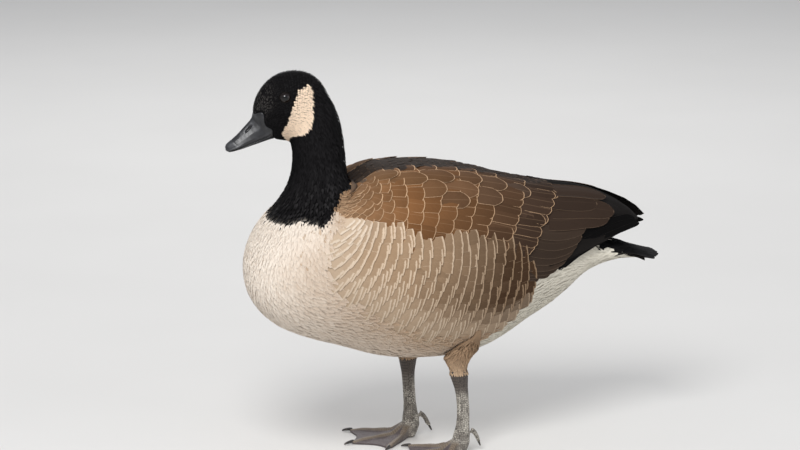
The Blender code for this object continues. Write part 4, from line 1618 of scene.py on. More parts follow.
    def near_eye(self, plumage: Plumage, grow: float = 1.32) -> np.ndarray:
        """True for roots in the bare ring round an eye.

        Args:
            plumage: The feathers.
            grow: The bare ring's size over the opening's.

        Returns:
            A mask over the feathers.
        """
        bare = np.zeros(plumage.count, bool)
        for eye in self.eyes.values():
            away = plumage.root - eye["middle"]
            across = away @ eye["ahead"] / (self.lid_across * grow)
            tall = away @ eye["up"] / (self.lid_tall * grow)
            bare |= (np.hypot(across, tall) < 1.0) & (away @ eye["out"] > 0)
        return bare

    def rooted(self, rows: Sequence[float], lean: Callable, gap: Callable, span: tuple[float, float],
               jitter: float) -> Plumage:
        """Roots on the skin, in rows as for rows_of_feathers."""
        return rows_of_feathers(self.ground, rows, lean, gap, span, self.rng, jitter, self.uv)

    def ringed(self, first: float, last: float, spacing: Spacing, share: float, jitter: float,
               degrees: float = 90.0) -> Plumage:
        """Roots in level rows right round the body.

        Args:
            first: Station of the first row.
            last: Station that no row lies beyond.
            spacing: Distance between rows.
            share: Distance within a row, as a share of the one between rows.
            jitter: Random shift, as a share of the distance within a row.
            degrees: The angle at which the rows' distance is measured.

        Returns:
            The feathers' places.
        """
        rows = stepped(self.ground, first, last, spacing.at, degrees)
        return self.rooted(rows, level, lambda row: spacing.at(row) * share, ALL_ROUND, jitter)

    def head_coat(self) -> Plumage:
        """Velvety feathers of head and upper neck.

        Returns:
            The feathers, with their sizes and colours.
        """
        coat = self.ringed(0.12, 7.6, Spacing(0.0017, 0.0030, 1.0, 8.0), 0.78, 0.35)
        horn = coat.station < table_value(Bill.HORN_EDGE, coat.degrees) + 0.05
        return self._velvet(coat.keep(~self.near_eye(coat) & ~horn))

    def neck_coat(self) -> Plumage:
        """Feathers of the black neck, down to its edge on the breast.

        Returns:
            The feathers, with their sizes and colours.
        """
        coat = self.ringed(7.65, 13.3, Spacing(0.0030, 0.0046, 7.0, 12.0), 0.80, 0.35)
        edge = table_value(Markings.NECK_EDGE, coat.degrees) + self.rng.normal(0.0, 0.07, coat.count)
        return self._velvet(coat.keep(coat.station < edge + 0.02))

    def _velvet(self, coat: Plumage) -> Plumage:
        """Sizes and colours of the head's and neck's feathers.

        Args:
            coat: The feathers' places.

        Returns:
            The feathers, with their sizes and colours.
        """
        s, d, n = coat.station, coat.degrees, coat.count
        grown = smoothstep(s, 3.0, 11.0)
        long = between(0.0030, 0.0095, grown) * self.rng.uniform(0.85, 1.15, n)
        depth = table_value(COAT_DEPTH, s)
        jag = self.rng.normal(0.0, 0.018, n)
        cheek = Markings.cheek_part(s + jag + long * 50.0, d + jag * 40) > 0.5
        black = toned(Markings.BLACK, self.rng.uniform(0.65, 1.45, n))
        # Random feathers of the lower neck are greyed a little as painted sheen.
        streak = smoothstep(s, 8.5, 12.0) * self.rng.uniform(0.0, 1.0, n)**3
        black = black + toned((0.022, 0.021, 0.021), streak)
        # Grey flecks on forehead and lores, partly the feathers' own flecking and partly painted sheen.
        fleck_and_sheen = (1 - smoothstep(s, 1.8, 3.4)) * (1 - smoothstep(d, 55.0, 80.0))
        fleck_and_sheen = fleck_and_sheen * (self.rng.random(n) < 0.55) * self.rng.uniform(0.3, 1.0, n)
        black = black + toned((0.040, 0.037, 0.034), fleck_and_sheen)
        cream = toned(Markings.CHEEK, self.rng.uniform(0.94, 1.06, n))
        colour = np.where(cheek[:, None], cream, black)
        # The cheek's feathers lie flatter than the rest.
        rough = np.where(cheek, 0.25, 1.0)
        coat.turn(np.radians(self.rng.normal(0.0, 5.0, n)))
        width = long * between(0.30, 0.22, grown) * self.rng.uniform(0.85, 1.15, n)
        lift = 1.0 + self.rng.uniform(-0.15, 0.15, n) * rough
        coat.values = {
            "long": long, "wide": width, "low": depth * np.where(cheek, 0.70, 0.40),
            "high": depth * lift + 0.0001, "camber": 0.16 * rough, "taper": 0.62, "tip": 0.40,
            "ragged": 0.04, "roll": self.rng.normal(0.0, 0.07, n) * rough,
            "vane_colour": np.clip(colour, 0.002, 0.86), "rim_colour": np.clip(colour * 1.3, 0.002, 0.9),
        }
        return coat

    def _wing_ahead(self, station: np.ndarray, degrees: np.ndarray) -> np.ndarray:
        """Degrees above the wing's lower edge, positive on the wing."""
        return table_value(Markings.WING_EDGE, station) - degrees

    def soft_coat(self, first: float, last: float) -> Plumage:
        """Small soft feathers of breast and belly between two stations.

        Args:
            first: Station of the first row.
            last: Station that no row lies beyond.

        Returns:
            The feathers, with their sizes and colours.
        """
        coat = self.ringed(first, last, Spacing(0.0028, 0.0044, 11.0, 16.0), 0.95, 0.40, 125.0)
        s, d = coat.station, coat.degrees
        edge = table_value(Markings.NECK_EDGE, d) + self.rng.normal(0.0, 0.035, coat.count)
        on_wing = (s > 11.2) & (self._wing_ahead(s, d) > 1.0)
        flank = self.flank_part(s, d) > self.rng.uniform(0.25, 0.75, coat.count)
        top = (d < 62.0) & (s > 11.2)
        vent = Markings.vent_part(s, d) > 0.5
        coat = coat.keep((s > edge + 0.06) & ~on_wing & ~flank & ~top & ~vent & ((s < 23.2) | (d > 100)))
        s, d, n = coat.station, coat.degrees, coat.count
        grown = smoothstep(s, 11.5, 16.0)
        long = between(0.0085, 0.0150, grown) * self.rng.uniform(0.85, 1.15, n)
        b = np.clip(Markings.brownness(s, d) + self.rng.normal(0.0, 0.03, n), 0, 1)
        colour = ramp(((0.82, 0.73, 0.63), (0.43, 0.300, 0.200), (0.11, 0.065, 0.040)), b)
        streaked = 0.08 * (1 - smoothstep(s, 13.0, 16.5)) * (1 - smoothstep(d, 108.0, 132.0))
        dark = (self.rng.random(n) < streaked)[:, None]
        colour = np.where(dark, colour * np.array([0.72, 0.64, 0.56]), colour)
        depth = table_value(COAT_DEPTH, s)
        coat.turn(np.radians(self.rng.normal(0.0, 5.0, n)))
        coat.values = {
            "long": long, "wide": long * self.rng.uniform(0.26, 0.34, n), "low": depth * 0.62,
            "high": depth * self.rng.uniform(0.96, 1.04, n), "camber": 0.06, "taper": 0.40, "tip": 0.45,
            "ragged": 0.04, "rim": between(0.0005, 0.0010, grown) + 0.0006 * smoothstep(b, 0.15, 0.40),
            "roll": self.rng.normal(0.0, 0.02, n), "vane_colour": colour,
            "rim_colour": ramp(((0.85, 0.78, 0.69), (0.62, 0.48, 0.35), (0.36, 0.25, 0.16)), b),
        }
        return coat

    # The flank by station: where it ends towards the belly in degrees, the distances between its rows
    # and within them in metres, and how far a row runs back for each degree down.
    FLANK_EDGE = ((14.0, 96), (15.5, 114), (17.0, 124), (19.0, 132), (21.0, 138), (22.5, 134), (23.5, 125))
    FLANK_STEP = ((14.0, 0.0074), (16.0, 0.0080), (19.0, 0.0092), (23.0, 0.0100))
    FLANK_GAP = ((13.0, 0.0115), (15.0, 0.0150), (17.0, 0.0180), (21.0, 0.0210))
    FLANK_TILT = ((14.0, 0.046), (16.0, 0.050), (18.0, 0.050), (23.0, 0.052))

    @classmethod
    def flank_part(cls, station: np.ndarray, degrees: np.ndarray) -> np.ndarray:
        """1 on the side flanks, where broad barred feathers grow."""
        lower = table_value(cls.FLANK_EDGE, station)
        return smoothstep(station, 12.9, 14.7) * (1 - smoothstep(degrees, lower - 12.0, lower + 6.0))

    @classmethod
    def flank_lean(cls, row: float, degrees: np.ndarray) -> np.ndarray:
        """How far a flank row runs back as it goes down, with its top bent forward."""
        bend = 0.00030 * (degrees - 108.0)**2 * (degrees < 108.0) * smoothstep(row, 14.4, 17.5)
        return table_value(cls.FLANK_TILT, row) * (degrees - 105.0) - bend

    def flank_coat(self) -> Plumage:
        """Broad, pale-edged feathers of the flank, in bars whose tops bend forward.

        Returns:
            The feathers, with their sizes and colours.
        """
        rows = stepped(self.ground, 13.1, 24.3, partial(table_value, self.FLANK_STEP), 105.0)
        gap = partial(table_value, self.FLANK_GAP)
        coat = self.rooted(rows, self.flank_lean, gap, (-150.0, 150.0), 0.05)
        s, d = coat.station, coat.degrees
        keep = self.flank_part(s, d) > self.rng.uniform(0.25, 0.75, coat.count)
        keep &= (self._wing_ahead(s + 0.3, d) < 2.0) & (Markings.vent_part(s + 0.45, d) < 0.5)
        coat = coat.keep(keep)
        s, d, n = coat.station, coat.degrees, coat.count
        b = np.clip(Markings.brownness(s, d) + self.rng.normal(0.0, 0.025, n), 0, 1)
        colour = ramp(((0.40, 0.290, 0.200), (0.34, 0.228, 0.140), (0.060, 0.033, 0.018)), b)
        rim = ramp(((0.73, 0.59, 0.45), (0.66, 0.51, 0.37), (0.29, 0.195, 0.120)), b)
        near_wing = 1 - smoothstep(-self._wing_ahead(s, d), 2.0, 20.0)
        sweep = np.interp(s, (14.0, 18.0, 23.0), (2.0, 6.0, 9.0))
        coat.turn(np.radians(sweep + 8.0 * near_wing + self.rng.normal(0.0, 1.2, n)))
        # Towards the breast and the belly the bars fade.
        ahead = 1.0 - smoothstep(s, 13.4, 16.2)
        colour = tinted(colour, (0.60, 0.475, 0.355), 0.80 * ahead)
        rim = tinted(rim, (0.80, 0.700, 0.580), 0.70 * ahead)
        below = smoothstep(d - table_value(self.FLANK_EDGE, s), -30.0, -2.0)
        colour = tinted(colour, (0.46, 0.350, 0.250), 0.75 * below)
        rim = tinted(rim, (0.60, 0.490, 0.370), 0.70 * below)
        depth = table_value(COAT_DEPTH, s)
        grown = smoothstep(s, 14.0, 19.0)
        places = (13.0, 15.0, 19.0)
        long = np.interp(s, places, (0.0150, 0.0205, 0.0275)) * self.rng.uniform(0.985, 1.015, n)
        wide = np.interp(s, places, (0.0095, 0.0125, 0.0170)) * self.rng.uniform(0.97, 1.06, n)
        coat.values = {
            "long": long, "wide": wide * (1 - 0.25 * near_wing), "low": depth * 0.40,
            "high": depth * (self.rng.uniform(0.99, 1.04, n) + 0.30 * near_wing), "camber": 0.04,
            "tip": 0.040, "ragged": 0.020, "rim": between(0.0034, 0.0024, grown), "side_rim": 7.0,
            "shaft": 0.2 + 0.4 * grown, "roll": self.rng.normal(-0.030, 0.006, n) * np.sign(coat.signed),
            "vane_colour": colour, "rim_colour": rim,
        }
        return coat

    def vent_coat(self) -> Plumage:
        """White feathers under and over the tail's root.

        Returns:
            The feathers, with their sizes and colours.
        """
        rows = stepped(self.ground, 20.7, 30.9, lambda s: 0.0056, 140.0)
        coat = self.rooted(rows, level, lambda row: 0.0052, ALL_ROUND, 0.3)
        s, d = coat.station, coat.degrees
        hidden = (d < 100) & (s < 24.5)
        coat = coat.keep((Markings.vent_part(s, d) > 0.45) & ~hidden)
        s, d, n = coat.station, coat.degrees, coat.count
        depth = table_value(COAT_DEPTH, s)
        white = toned(Markings.SHADED_WHITE, self.rng.uniform(0.95, 1.04, n))
        black = toned((0.0075, 0.0072, 0.0076), self.rng.uniform(0.7, 1.4, n))
        on_tail = Markings.tail_part(s + 0.50, d + self.rng.normal(0.0, 0.5, n)) > 0.5
        colour = np.where(on_tail[:, None], black, white)
        coat.turn(np.radians(self.rng.normal(0.0, 4.0, n)))
        coat.values = {
            "long": self.rng.uniform(0.0165, 0.0205, n) * (1 - 0.15 * smoothstep(s, 26.0, 28.5)),
            "wide": self.rng.uniform(0.0034, 0.0044, n), "low": depth * 0.60,
            "high": depth * self.rng.uniform(0.97, 1.05, n), "camber": 0.06, "taper": 0.45, "tip": 0.45,
            "ragged": 0.04, "shaft": 0.1, "roll": self.rng.normal(0.0, 0.03, n),
            "vane_colour": colour, "rim_colour": colour,
        }
        return coat

    @staticmethod
    def covert_lean(row: float, degrees: np.ndarray) -> np.ndarray:
        """How far a covert row runs forward as it goes down the wing."""
        slope = 0.006 * (row - 18.5) if row > 18.5 else 0.014 * (row - 18.5)
        return -slope * (degrees - 60.0)

    COVERT_TIPS = (10.2, 10.5, 10.8, 11.1, 11.4, 11.7, 12.0, 12.3, 12.6, 12.95, 13.3, 13.7, 14.1, 14.55,
                   15.0, 15.5, 16.0, 16.55, 17.1, 17.7, 18.3, 18.95, 19.65, 20.45, 21.6, 22.95)
    COVERT_GAP = ((13.0, 0.0058), (15.5, 0.0105), (18.0, 0.0160), (20.0, 0.0150), (23.0, 0.0120))
    COVERT_BROWNS = ((0.29, 0.180, 0.105), (0.225, 0.120, 0.058), (0.190, 0.086, 0.034),
                     (0.130, 0.064, 0.029), (0.055, 0.033, 0.022))
    # Each row's tips, and the degrees between which it grows.
    SCAPULARS = ((16.6, 16, 30), (17.7, 17, 36), (18.8, 18, 44), (19.9, 19, 50), (20.9, 20, 44),
                 (22.0, 20, 34))
    SCAPULAR_BROWNS = ((0.190, 0.100, 0.046), (0.165, 0.084, 0.040), (0.070, 0.044, 0.030))

    def covert_coat(self) -> Plumage:
        """Square-tipped wing coverts with buff edges, in rows that cross the wing.

        Returns:
            The feathers, with their sizes and colours.
        """
        parts = []
        for tip, before in zip(self.COVERT_TIPS[1:], self.COVERT_TIPS):
            back = (tip - before) * float(np.interp(tip, (13.0, 16.0), (1.5, 2.1))) + 0.20
            gap = float(table_value(self.COVERT_GAP, tip))
            for span in ((-106.0, -8.0), (8.0, 106.0)):
                row = self.rooted([tip - back], lambda r, d, t=tip: self.covert_lean(t, d),
                                  lambda r, g=gap: g, span, 0.10)
                end = self.ground.read(self.ground.points, row.station + back, np.radians(row.signed))
                long = np.linalg.norm(end - row.root, axis=1)
                row.values = {"tip_row": np.full(row.count, tip), "long": long,
                              "wide": np.full(row.count, gap * 0.80)}
                shown = self._wing_ahead(row.station + back * 0.8, row.degrees) > 1.5
                shown &= row.degrees > table_value(Markings.WING_TOP, row.station)
                shown &= row.station > table_value(Markings.NECK_EDGE, row.degrees) - 0.12
                parts.append(row.keep(shown))
        coat = Plumage.joined(parts)
        s, d, n = coat.values.pop("tip_row"), coat.degrees, coat.count
        jitter = self.rng.uniform(0.86, 1.14, n)[:, None]
        colour = ramp(self.COVERT_BROWNS, np.clip((s - 13.0) / 9.5, 0, 1)) * jitter
        # Near the back line the coverts are darkened by half as painted shade.
        upper = 1 - smoothstep(d, 14.0, 30.0)
        colour = colour * (1 - 0.50 * upper)[:, None]
        rim = toned((0.530, 0.345, 0.205), self.rng.uniform(0.85, 1.12, n))
        coat.turn(np.radians(-2.0 + self.rng.normal(0.0, 2.5, n)))
        depth = table_value(COAT_DEPTH, s)
        edge = 1 - smoothstep(self._wing_ahead(s, d), 2.0, 14.0)
        high = depth * (self.rng.uniform(1.0, 1.08, n) - 0.22 * edge) + 0.0007 * smoothstep(s, 20.3, 22.0)
        coat.values |= {
            "low": depth * 0.45, "high": high, "camber": 0.05,
            "tip": np.interp(s, (13.0, 16.0), (0.24, 0.09)), "ragged": 0.006,
            "rim": np.interp(s, (13.0, 17.0, 22.0), (0.0013, 0.0014, 0.0012)), "side_rim": 2.6, "shaft": 1.0,
            "roll": self.rng.normal(-0.030, 0.008, n) * np.sign(coat.signed),
            "vane_colour": colour, "rim_colour": rim,
        }
        return coat

    def scapular_coat(self) -> Plumage:
        """The few long, round-ended shoulder feathers that lie over the upper coverts.

        Returns:
            The feathers, with their sizes and colours.
        """
        parts = []
        for tip, low, high in self.SCAPULARS:
            for span in ((-high, -low), (low, high)):
                row = self.rooted([tip - 1.75],
                                  lambda r, d, t=tip: self.covert_lean(t, d) - 0.010 * (d - 30.0),
                                  lambda r: 0.0185, span, 0.16)
                row.values = {"tip_row": np.full(row.count, tip)}
                parts.append(row)
        coat = Plumage.joined(parts)
        s, d, n = coat.values["tip_row"], coat.degrees, coat.count
        brown = ramp(self.SCAPULAR_BROWNS, np.clip((s - 16.0) / 6.0, 0, 1))
        # Near the back line the scapulars are darkened by half as painted shade.
        upper = (1 - smoothstep(d, 18.0, 34.0))[:, None]
        colour = brown * (1 - 0.50 * upper) * self.rng.uniform(0.82, 1.12, n)[:, None]
        coat.turn(np.radians(-3.0 + self.rng.normal(0.0, 4.0, n)))
        depth = table_value(COAT_DEPTH, s)
        coat.values = {
            "long": self.rng.uniform(0.046, 0.052, n), "wide": self.rng.uniform(0.0120, 0.0145, n),
            "low": depth * 0.75, "high": depth + 0.0013, "camber": 0.06, "taper": 0.05, "tip": 0.26,
            "ragged": 0.006, "rim": 0.0014, "shaft": 1.0, "roll": self.rng.normal(0.0, 0.02, n),
            "vane_colour": colour,
            "rim_colour": toned((0.500, 0.330, 0.200), self.rng.uniform(0.85, 1.1, n)),
        }
        return coat

    def mantle_coat(self) -> Plumage:
        """Feathers of the back between the wings, their brown painted darker as shade, and the brown ones at
        the neck's foot.

        Returns:
            The feathers, with their sizes and colours.
        """
        rows = stepped(self.ground, 11.3, 26.2, lambda s: 0.0085, 0.0)
        coat = self.rooted(rows, lambda row, d: -0.010 * d, lambda row: 0.0105, (-66.0, 66.0), 0.15)
        s, d = coat.station, coat.degrees
        edge = table_value(Markings.NECK_EDGE, d)
        limit = np.where(s < 15.0, np.interp(s, (11.0, 13.4, 15.0), (42.0, 30.0, 20.0)),
                         table_value(Markings.WING_TOP, s) + 5.0)
        coat = coat.keep((s > edge + 0.12) & (d < limit) & (Markings.vent_part(s + 0.25, d) < 0.5))
        s, d, n = coat.station, coat.degrees, coat.count
        tawny = (1 - smoothstep(s, 12.5, 16.0)) * smoothstep(d, 10.0, 40.0)
        # The back's feathers and their rims are kept dark as painted shade.
        colour = toned(Markings.SHADED_MANTLE, self.rng.uniform(0.85, 1.25, n))
        colour = tinted(colour, toned((0.250, 0.170, 0.115), self.rng.uniform(0.85, 1.15, n)), tawny)
        rim = tinted(np.array([0.070, 0.044, 0.028]), (0.46, 0.35, 0.26), tawny)
        rump = smoothstep(s, 24.0, 25.5)[:, None]
        colour = colour * (1 - 0.6 * rump)
        rim = rim * (1 - 0.8 * rump)
        depth = table_value(COAT_DEPTH, s)
        coat.values = {
            "long": between(0.0105, 0.0240, smoothstep(s, 11.8, 15.5)),
            "wide": between(0.0042, 0.0078, smoothstep(s, 11.8, 15.0)), "low": depth * 0.40,
            "high": depth * self.rng.uniform(0.94, 1.04, n), "camber": 0.07, "taper": 0.10, "tip": 0.24,
            "ragged": 0.02, "rim": 0.0009, "shaft": 0.4, "roll": self.rng.normal(0.0, 0.04, n),
            "vane_colour": colour, "rim_colour": rim,
        }
        return coat


def thigh_surface(side: str, rows: int = 34, columns: int = 48) -> Surface:
    """Reads one thigh as a closed grid, numbered from its top down, and carried up into the trunk.

    Args:
        side: Left or right.
        rows: Rows down the thigh.
        columns: Columns round it.

    Returns:
        The thigh's outer surface.
    """
    tree = node_tree_of(f"thigh_{side}", f"leg_{side}")
    points = node_points(f"thigh_{side}")
    hem, high = points[:, 2].min() + 0.0006, points[:, 2].max() - 0.0015
    middle = points[points[:, 2] < hem + 0.004].mean(axis=0)
    angles = np.arange(columns) * FULL_TURN / columns
    far = 0.09

    def outermost(z: float, angle: float) -> float:
        """Distance from the middle to the outside, met from far away.

        Args:
            z: Height.
            angle: Direction in radians.

        Returns:
            The distance, or nan where nothing is met.
        """
        ray = Vector((math.cos(angle), math.sin(angle), 0.0))
        origin = Vector((middle[0], middle[1], z))
        hit = tree.ray_cast(origin + ray * far, -ray, far)[0]
        return (hit - origin).length if hit else math.nan

    rings = []
    for z in np.linspace(hem - 0.0075, high, rows):
        across = [outermost(z, turn * math.pi / 2) for turn in range(4)]
        if not np.isnan(across).any():
            middle = middle + np.array([(across[0] - across[2]) / 2, (across[1] - across[3]) / 2, 0.0])
        radii = np.array([outermost(z, angle) for angle in angles])
        good = ~np.isnan(radii)
        if good.sum() < columns * 0.6:
            continue
        radii[~good] = np.interp(angles[~good], angles[good], radii[good], period=FULL_TURN)
        radii += 0.0012 * (1.0 - smoothstep(z, hem - 0.004, hem + 0.002))
        rings.append(np.stack([middle[0] + np.cos(angles) * radii, middle[1] + np.sin(angles) * radii,
                               np.full(columns, z)], axis=1))
    for _ in range(4):
        top = rings[-1].mean(axis=0)
        rings.append(top + (rings[-1] - top) * 0.94 + np.array([0.0, 0.0, 0.004]))
    grid = blurred(np.array(rings[::-1]), 2, True)
    return Surface(np.linspace(0.0, 1.0, len(rings)), angles, grid, True)


@dataclass
class Thigh:
    """One feathered thigh over the bare leg."""

    side: str
    finishes: Finishes

    COLOURS = ((0.36, 0.240, 0.150), (0.38, 0.255, 0.160), (0.46, 0.335, 0.225))

    def __post_init__(self) -> None:
        outer = thigh_surface(self.side)
        points = outer.points - outer.normals * self.depth(outer.stations)[:, None, None]
        self.ground = Surface(outer.stations, outer.angles, points, True)

    @staticmethod
    def depth(station: np.ndarray) -> np.ndarray:
        """How far the skin lies under the coat."""
        return between(0.0040, 0.0012, station)

    def uv(self, station: np.ndarray, degrees: np.ndarray) -> np.ndarray:
        """The bake map's place, in a strip of its own."""
        start = 0.20 if self.side == "left" else 0.60
        return np.stack([0.905 + np.mod(degrees, 360.0) / 360.0 * 0.07, start + station * 0.3], axis=-1)

    @classmethod
    def colour(cls, station: np.ndarray) -> np.ndarray:
        """Rusty cream above, dirty white at the hem."""
        return ramp(cls.COLOURS, station)

    def solid(self) -> bpy.types.Object:
        """The thigh's share of the skin, closed at both ends.

        Returns:
            A closed object, to be joined to the skin.
        """
        rows, columns = self.ground.points.shape[:2]
        points = self.ground.points.copy()
        points[-5:] -= self.ground.normals[-5:] * np.linspace(0.0, 0.0020, 5)[:, None, None]
        verts, faces = capped_grid(points, (points[0].mean(axis=0), points[-1].mean(axis=0)))
        obj = new_piece(f"thigh_skin_{self.side}", verts, faces, self.finishes.skin)
        station = np.concatenate([np.repeat(self.ground.stations, columns), [0.0, 1.0]])
        signed = np.concatenate([np.degrees(np.tile(self.ground.angles, rows)), [0.0, 0.0]])
        set_values(obj.data, "skin_colour", self.colour(station))
        store_map(obj.data, at_corners(obj.data, self.uv(station, signed)))
        fix_normals(obj)
        return obj

    def coat(self, rng: np.random.Generator) -> Plumage:
        """Short loose feathers that point down to the hock.

        Args:
            rng: The seeded random source.

        Returns:
            The feathers, with their sizes and colours.
        """
        rows = list(np.linspace(0.02, 0.90, 23))
        coat = rows_of_feathers(self.ground, rows, level, lambda row: 0.0034, ALL_ROUND, rng, 0.3, self.uv)
        n, s = coat.count, coat.station
        colour = self.colour(s) * rng.uniform(0.82, 1.15, n)[:, None]
        depth = self.depth(s)
        fringe = smoothstep(s, 0.80, 1.0)
        coat.values = {
            "long": between(0.0125, 0.0085, s) * rng.uniform(0.85, 1.15, n),
            "wide": rng.uniform(0.0020, 0.0030, n), "low": depth * 0.2,
            "high": depth * rng.uniform(0.85, 1.1, n), "camber": 0.15, "taper": 0.60, "tip": 0.45,
            "ragged": 0.06 + 0.05 * fringe, "rim": 0.0007, "shaft": 0.1, "roll": rng.normal(0.0, 0.08, n),
            "vane_colour": colour, "rim_colour": np.clip(colour * 1.35, 0, 0.85),
        }
        return coat


@dataclass(frozen=True)
class Vane:
    """One big quill's vane: where it runs, how wide it is and how it is coloured."""

    centre: np.ndarray
    half_width: float
    layer: float
    colour: Colour
    rim_colour: Colour
    rim: float = 0.0
    point: float = 0.35
    shaft: float = 0.6
    tilt: float = 0.0
    sunk: float = 0.0
    side_rim: float = 2.0
    camber: float = 0.0


class VaneStack:
    """Builds big vanes as thin closed slabs bent over a ground, joined into one piece."""

    NUMBERS = ("long", "wide", "rim", "side_rim", "shaft")
    SEARCH = 0.02
    MOST_RISE = 0.008

    def __init__(self, tree: BVHTree, facing: Callable, cells: tuple[int, int], across: int = 9,
                 along: int = 30) -> None:
        self.tree = tree
        self.facing = facing
        self.cells = cells
        self.across, self.along = across, along
        self.verts: list = []
        self.faces: list = []
        keys = ("across", "along", "uv", *self.NUMBERS, *FeatherGrower.COLOURS)
        self.values: dict[str, list] = {key: [] for key in keys}
        self.count = 0

    def _rise(self, flat: np.ndarray, up: np.ndarray) -> np.ndarray:
        """How far the ground lies above one row of points, carried on beyond its edges.

        Args:
            flat: The points.
            up: The outward direction.

        Returns:
            One rise for each point.
        """
        rise = np.full(len(flat), np.nan)
        for j, point in enumerate(flat):
            hit = self.tree.ray_cast(Vector(point + up * self.SEARCH), Vector(-up), 2 * self.SEARCH)[0]
            if hit is not None:
                rise[j] = (np.array(hit) - point) @ up
        rise[np.abs(rise) > self.MOST_RISE] = np.nan
        good = ~np.isnan(rise)
        if not good.any():
            return np.zeros(len(flat))
        places = np.arange(len(flat))
        return np.interp(places, places[good], rise[good])

    def add(self, vane: Vane, thickness: float = 0.00045) -> None:
        """Adds one vane, bent over the ground.

        Args:
            vane: The vane.
            thickness: How thick the slab is.
        """
        v = 1.0 - (1.0 - np.linspace(0.0, 1.0, self.along))**1.6
        u = np.linspace(-1.0, 1.0, self.across)
        centre = curve_through(vane.centre, v * (len(vane.centre) - 1))
        tangent = unit(np.gradient(centre, v, axis=0))
        length = float(np.linalg.norm(np.diff(centre, axis=0), axis=1).sum())
        start = 1.0 - vane.point
        rounding = np.clip((v - start) / vane.point, 0.0, 1.0)
        grown = 0.55 + 0.45 * smoothstep(v, 0.0, 0.35)
        half = vane.half_width * grown * np.sqrt(np.clip(1.0 - rounding**2.4, 0.004, 1.0))
        up = np.array([self.facing(Vector(point)) for point in centre])[:, None]
        up = unit(blurred(up, 6, False)[:, 0])
        side = unit(np.cross(up, tangent))
        flat = centre[:, None] + side[:, None] * (u[None, :] * half[:, None])[:, :, None]
        rise = np.array([self._rise(row, normal) for row, normal in zip(flat, up)])
        sunk = vane.sunk * (1.0 - smoothstep(v, 0.05, 0.62))
        lift = rise + vane.layer + vane.tilt * u[None, :] * half[:, None] - sunk[:, None]
        lift = lift - vane.camber * (u[None, :]**2) * half[:, None]
        grid = flat + up[:, None] * lift[:, :, None]
        tops = np.broadcast_to(up[:, None], grid.shape)
        grid, tops = blurred(grid, 2, False), unit(tops)
        base = sum(len(block) for block in self.verts)
        size = self.along * self.across
        self.verts += [grid.reshape(-1, 3), (grid - tops * thickness).reshape(-1, 3)]
        self.faces += grid_faces(self.along, self.across, False, False, base)
        self.faces += grid_faces(self.along, self.across, False, True, base + size)
        rim_line = ([i * self.across for i in range(self.along)]
                    + [(self.along - 1) * self.across + j for j in range(1, self.across)]
                    + [i * self.across + self.across - 1 for i in range(self.along - 2, -1, -1)]
                    + [j for j in range(self.across - 2, 0, -1)])
        for a, b in zip(rim_line, rim_line[1:] + rim_line[:1]):
            self.faces.append([base + b, base + a, base + size + a, base + size + b])
        flat_u, flat_v = np.tile(u, self.along), np.repeat(v, self.across)
        columns, rows = self.cells
        row, column = divmod(self.count, columns)
        corner = np.array([column / columns, row / rows])
        place = corner + np.stack([(flat_u * 0.42 + 0.5) / columns, (flat_v * 0.9 + 0.05) / rows], axis=1)
        numbers = (length, vane.half_width, vane.rim, vane.side_rim, vane.shaft)
        values = {"across": flat_u, "along": flat_v, "uv": place}
        values |= {key: np.full(size, number) for key, number in zip(self.NUMBERS, numbers)}
        values |= {key: np.tile(getattr(vane, name), (size, 1))
                   for key, name in zip(FeatherGrower.COLOURS, ("colour", "rim_colour"))}
        for key, value in values.items():
            self.values[key] += [value, value]
        self.count += 1

    def build(self, name: str, finish: Finish) -> bpy.types.Object:
        """The joined piece.

        Args:
            name: The piece's name.
            finish: What it is dressed in.

        Returns:
            The linked object.
        """
        obj = new_piece(name, np.vstack(self.verts), self.faces, finish)
        values = {key: np.concatenate(blocks) for key, blocks in self.values.items()}
        uv = values.pop("uv")
        for key, value in values.items():
            set_values(obj.data, key, value)
        store_map(obj.data, at_corners(obj.data, uv))
        return obj


@dataclass(frozen=True)
class QuillKind:
    """What the quills of one kind share."""

    half_width: float
    layer: float
    layer_step: float
    colour: Colour
    rim_colour: Colour
    rim: float
    point: float
    shaft: float
    tilt: float
    sunk: float
    tones: tuple[float, float]

    def vane(self, centre: np.ndarray, number: int, tone: float, side: float) -> Vane:
        """One quill's vane.

        Args:
            centre: Points along its shaft.
            number: Which of its kind it is, from the lowest up.
            tone: How light it is.
            side: The wing's side, 1 or -1.

        Returns:
            The vane.
        """
        colour = tuple(channel * tone for channel in self.colour)
        return Vane(centre, self.half_width, self.layer + self.layer_step * number, colour, self.rim_colour,
                    self.rim, self.point, self.shaft, self.tilt * side, self.sunk)


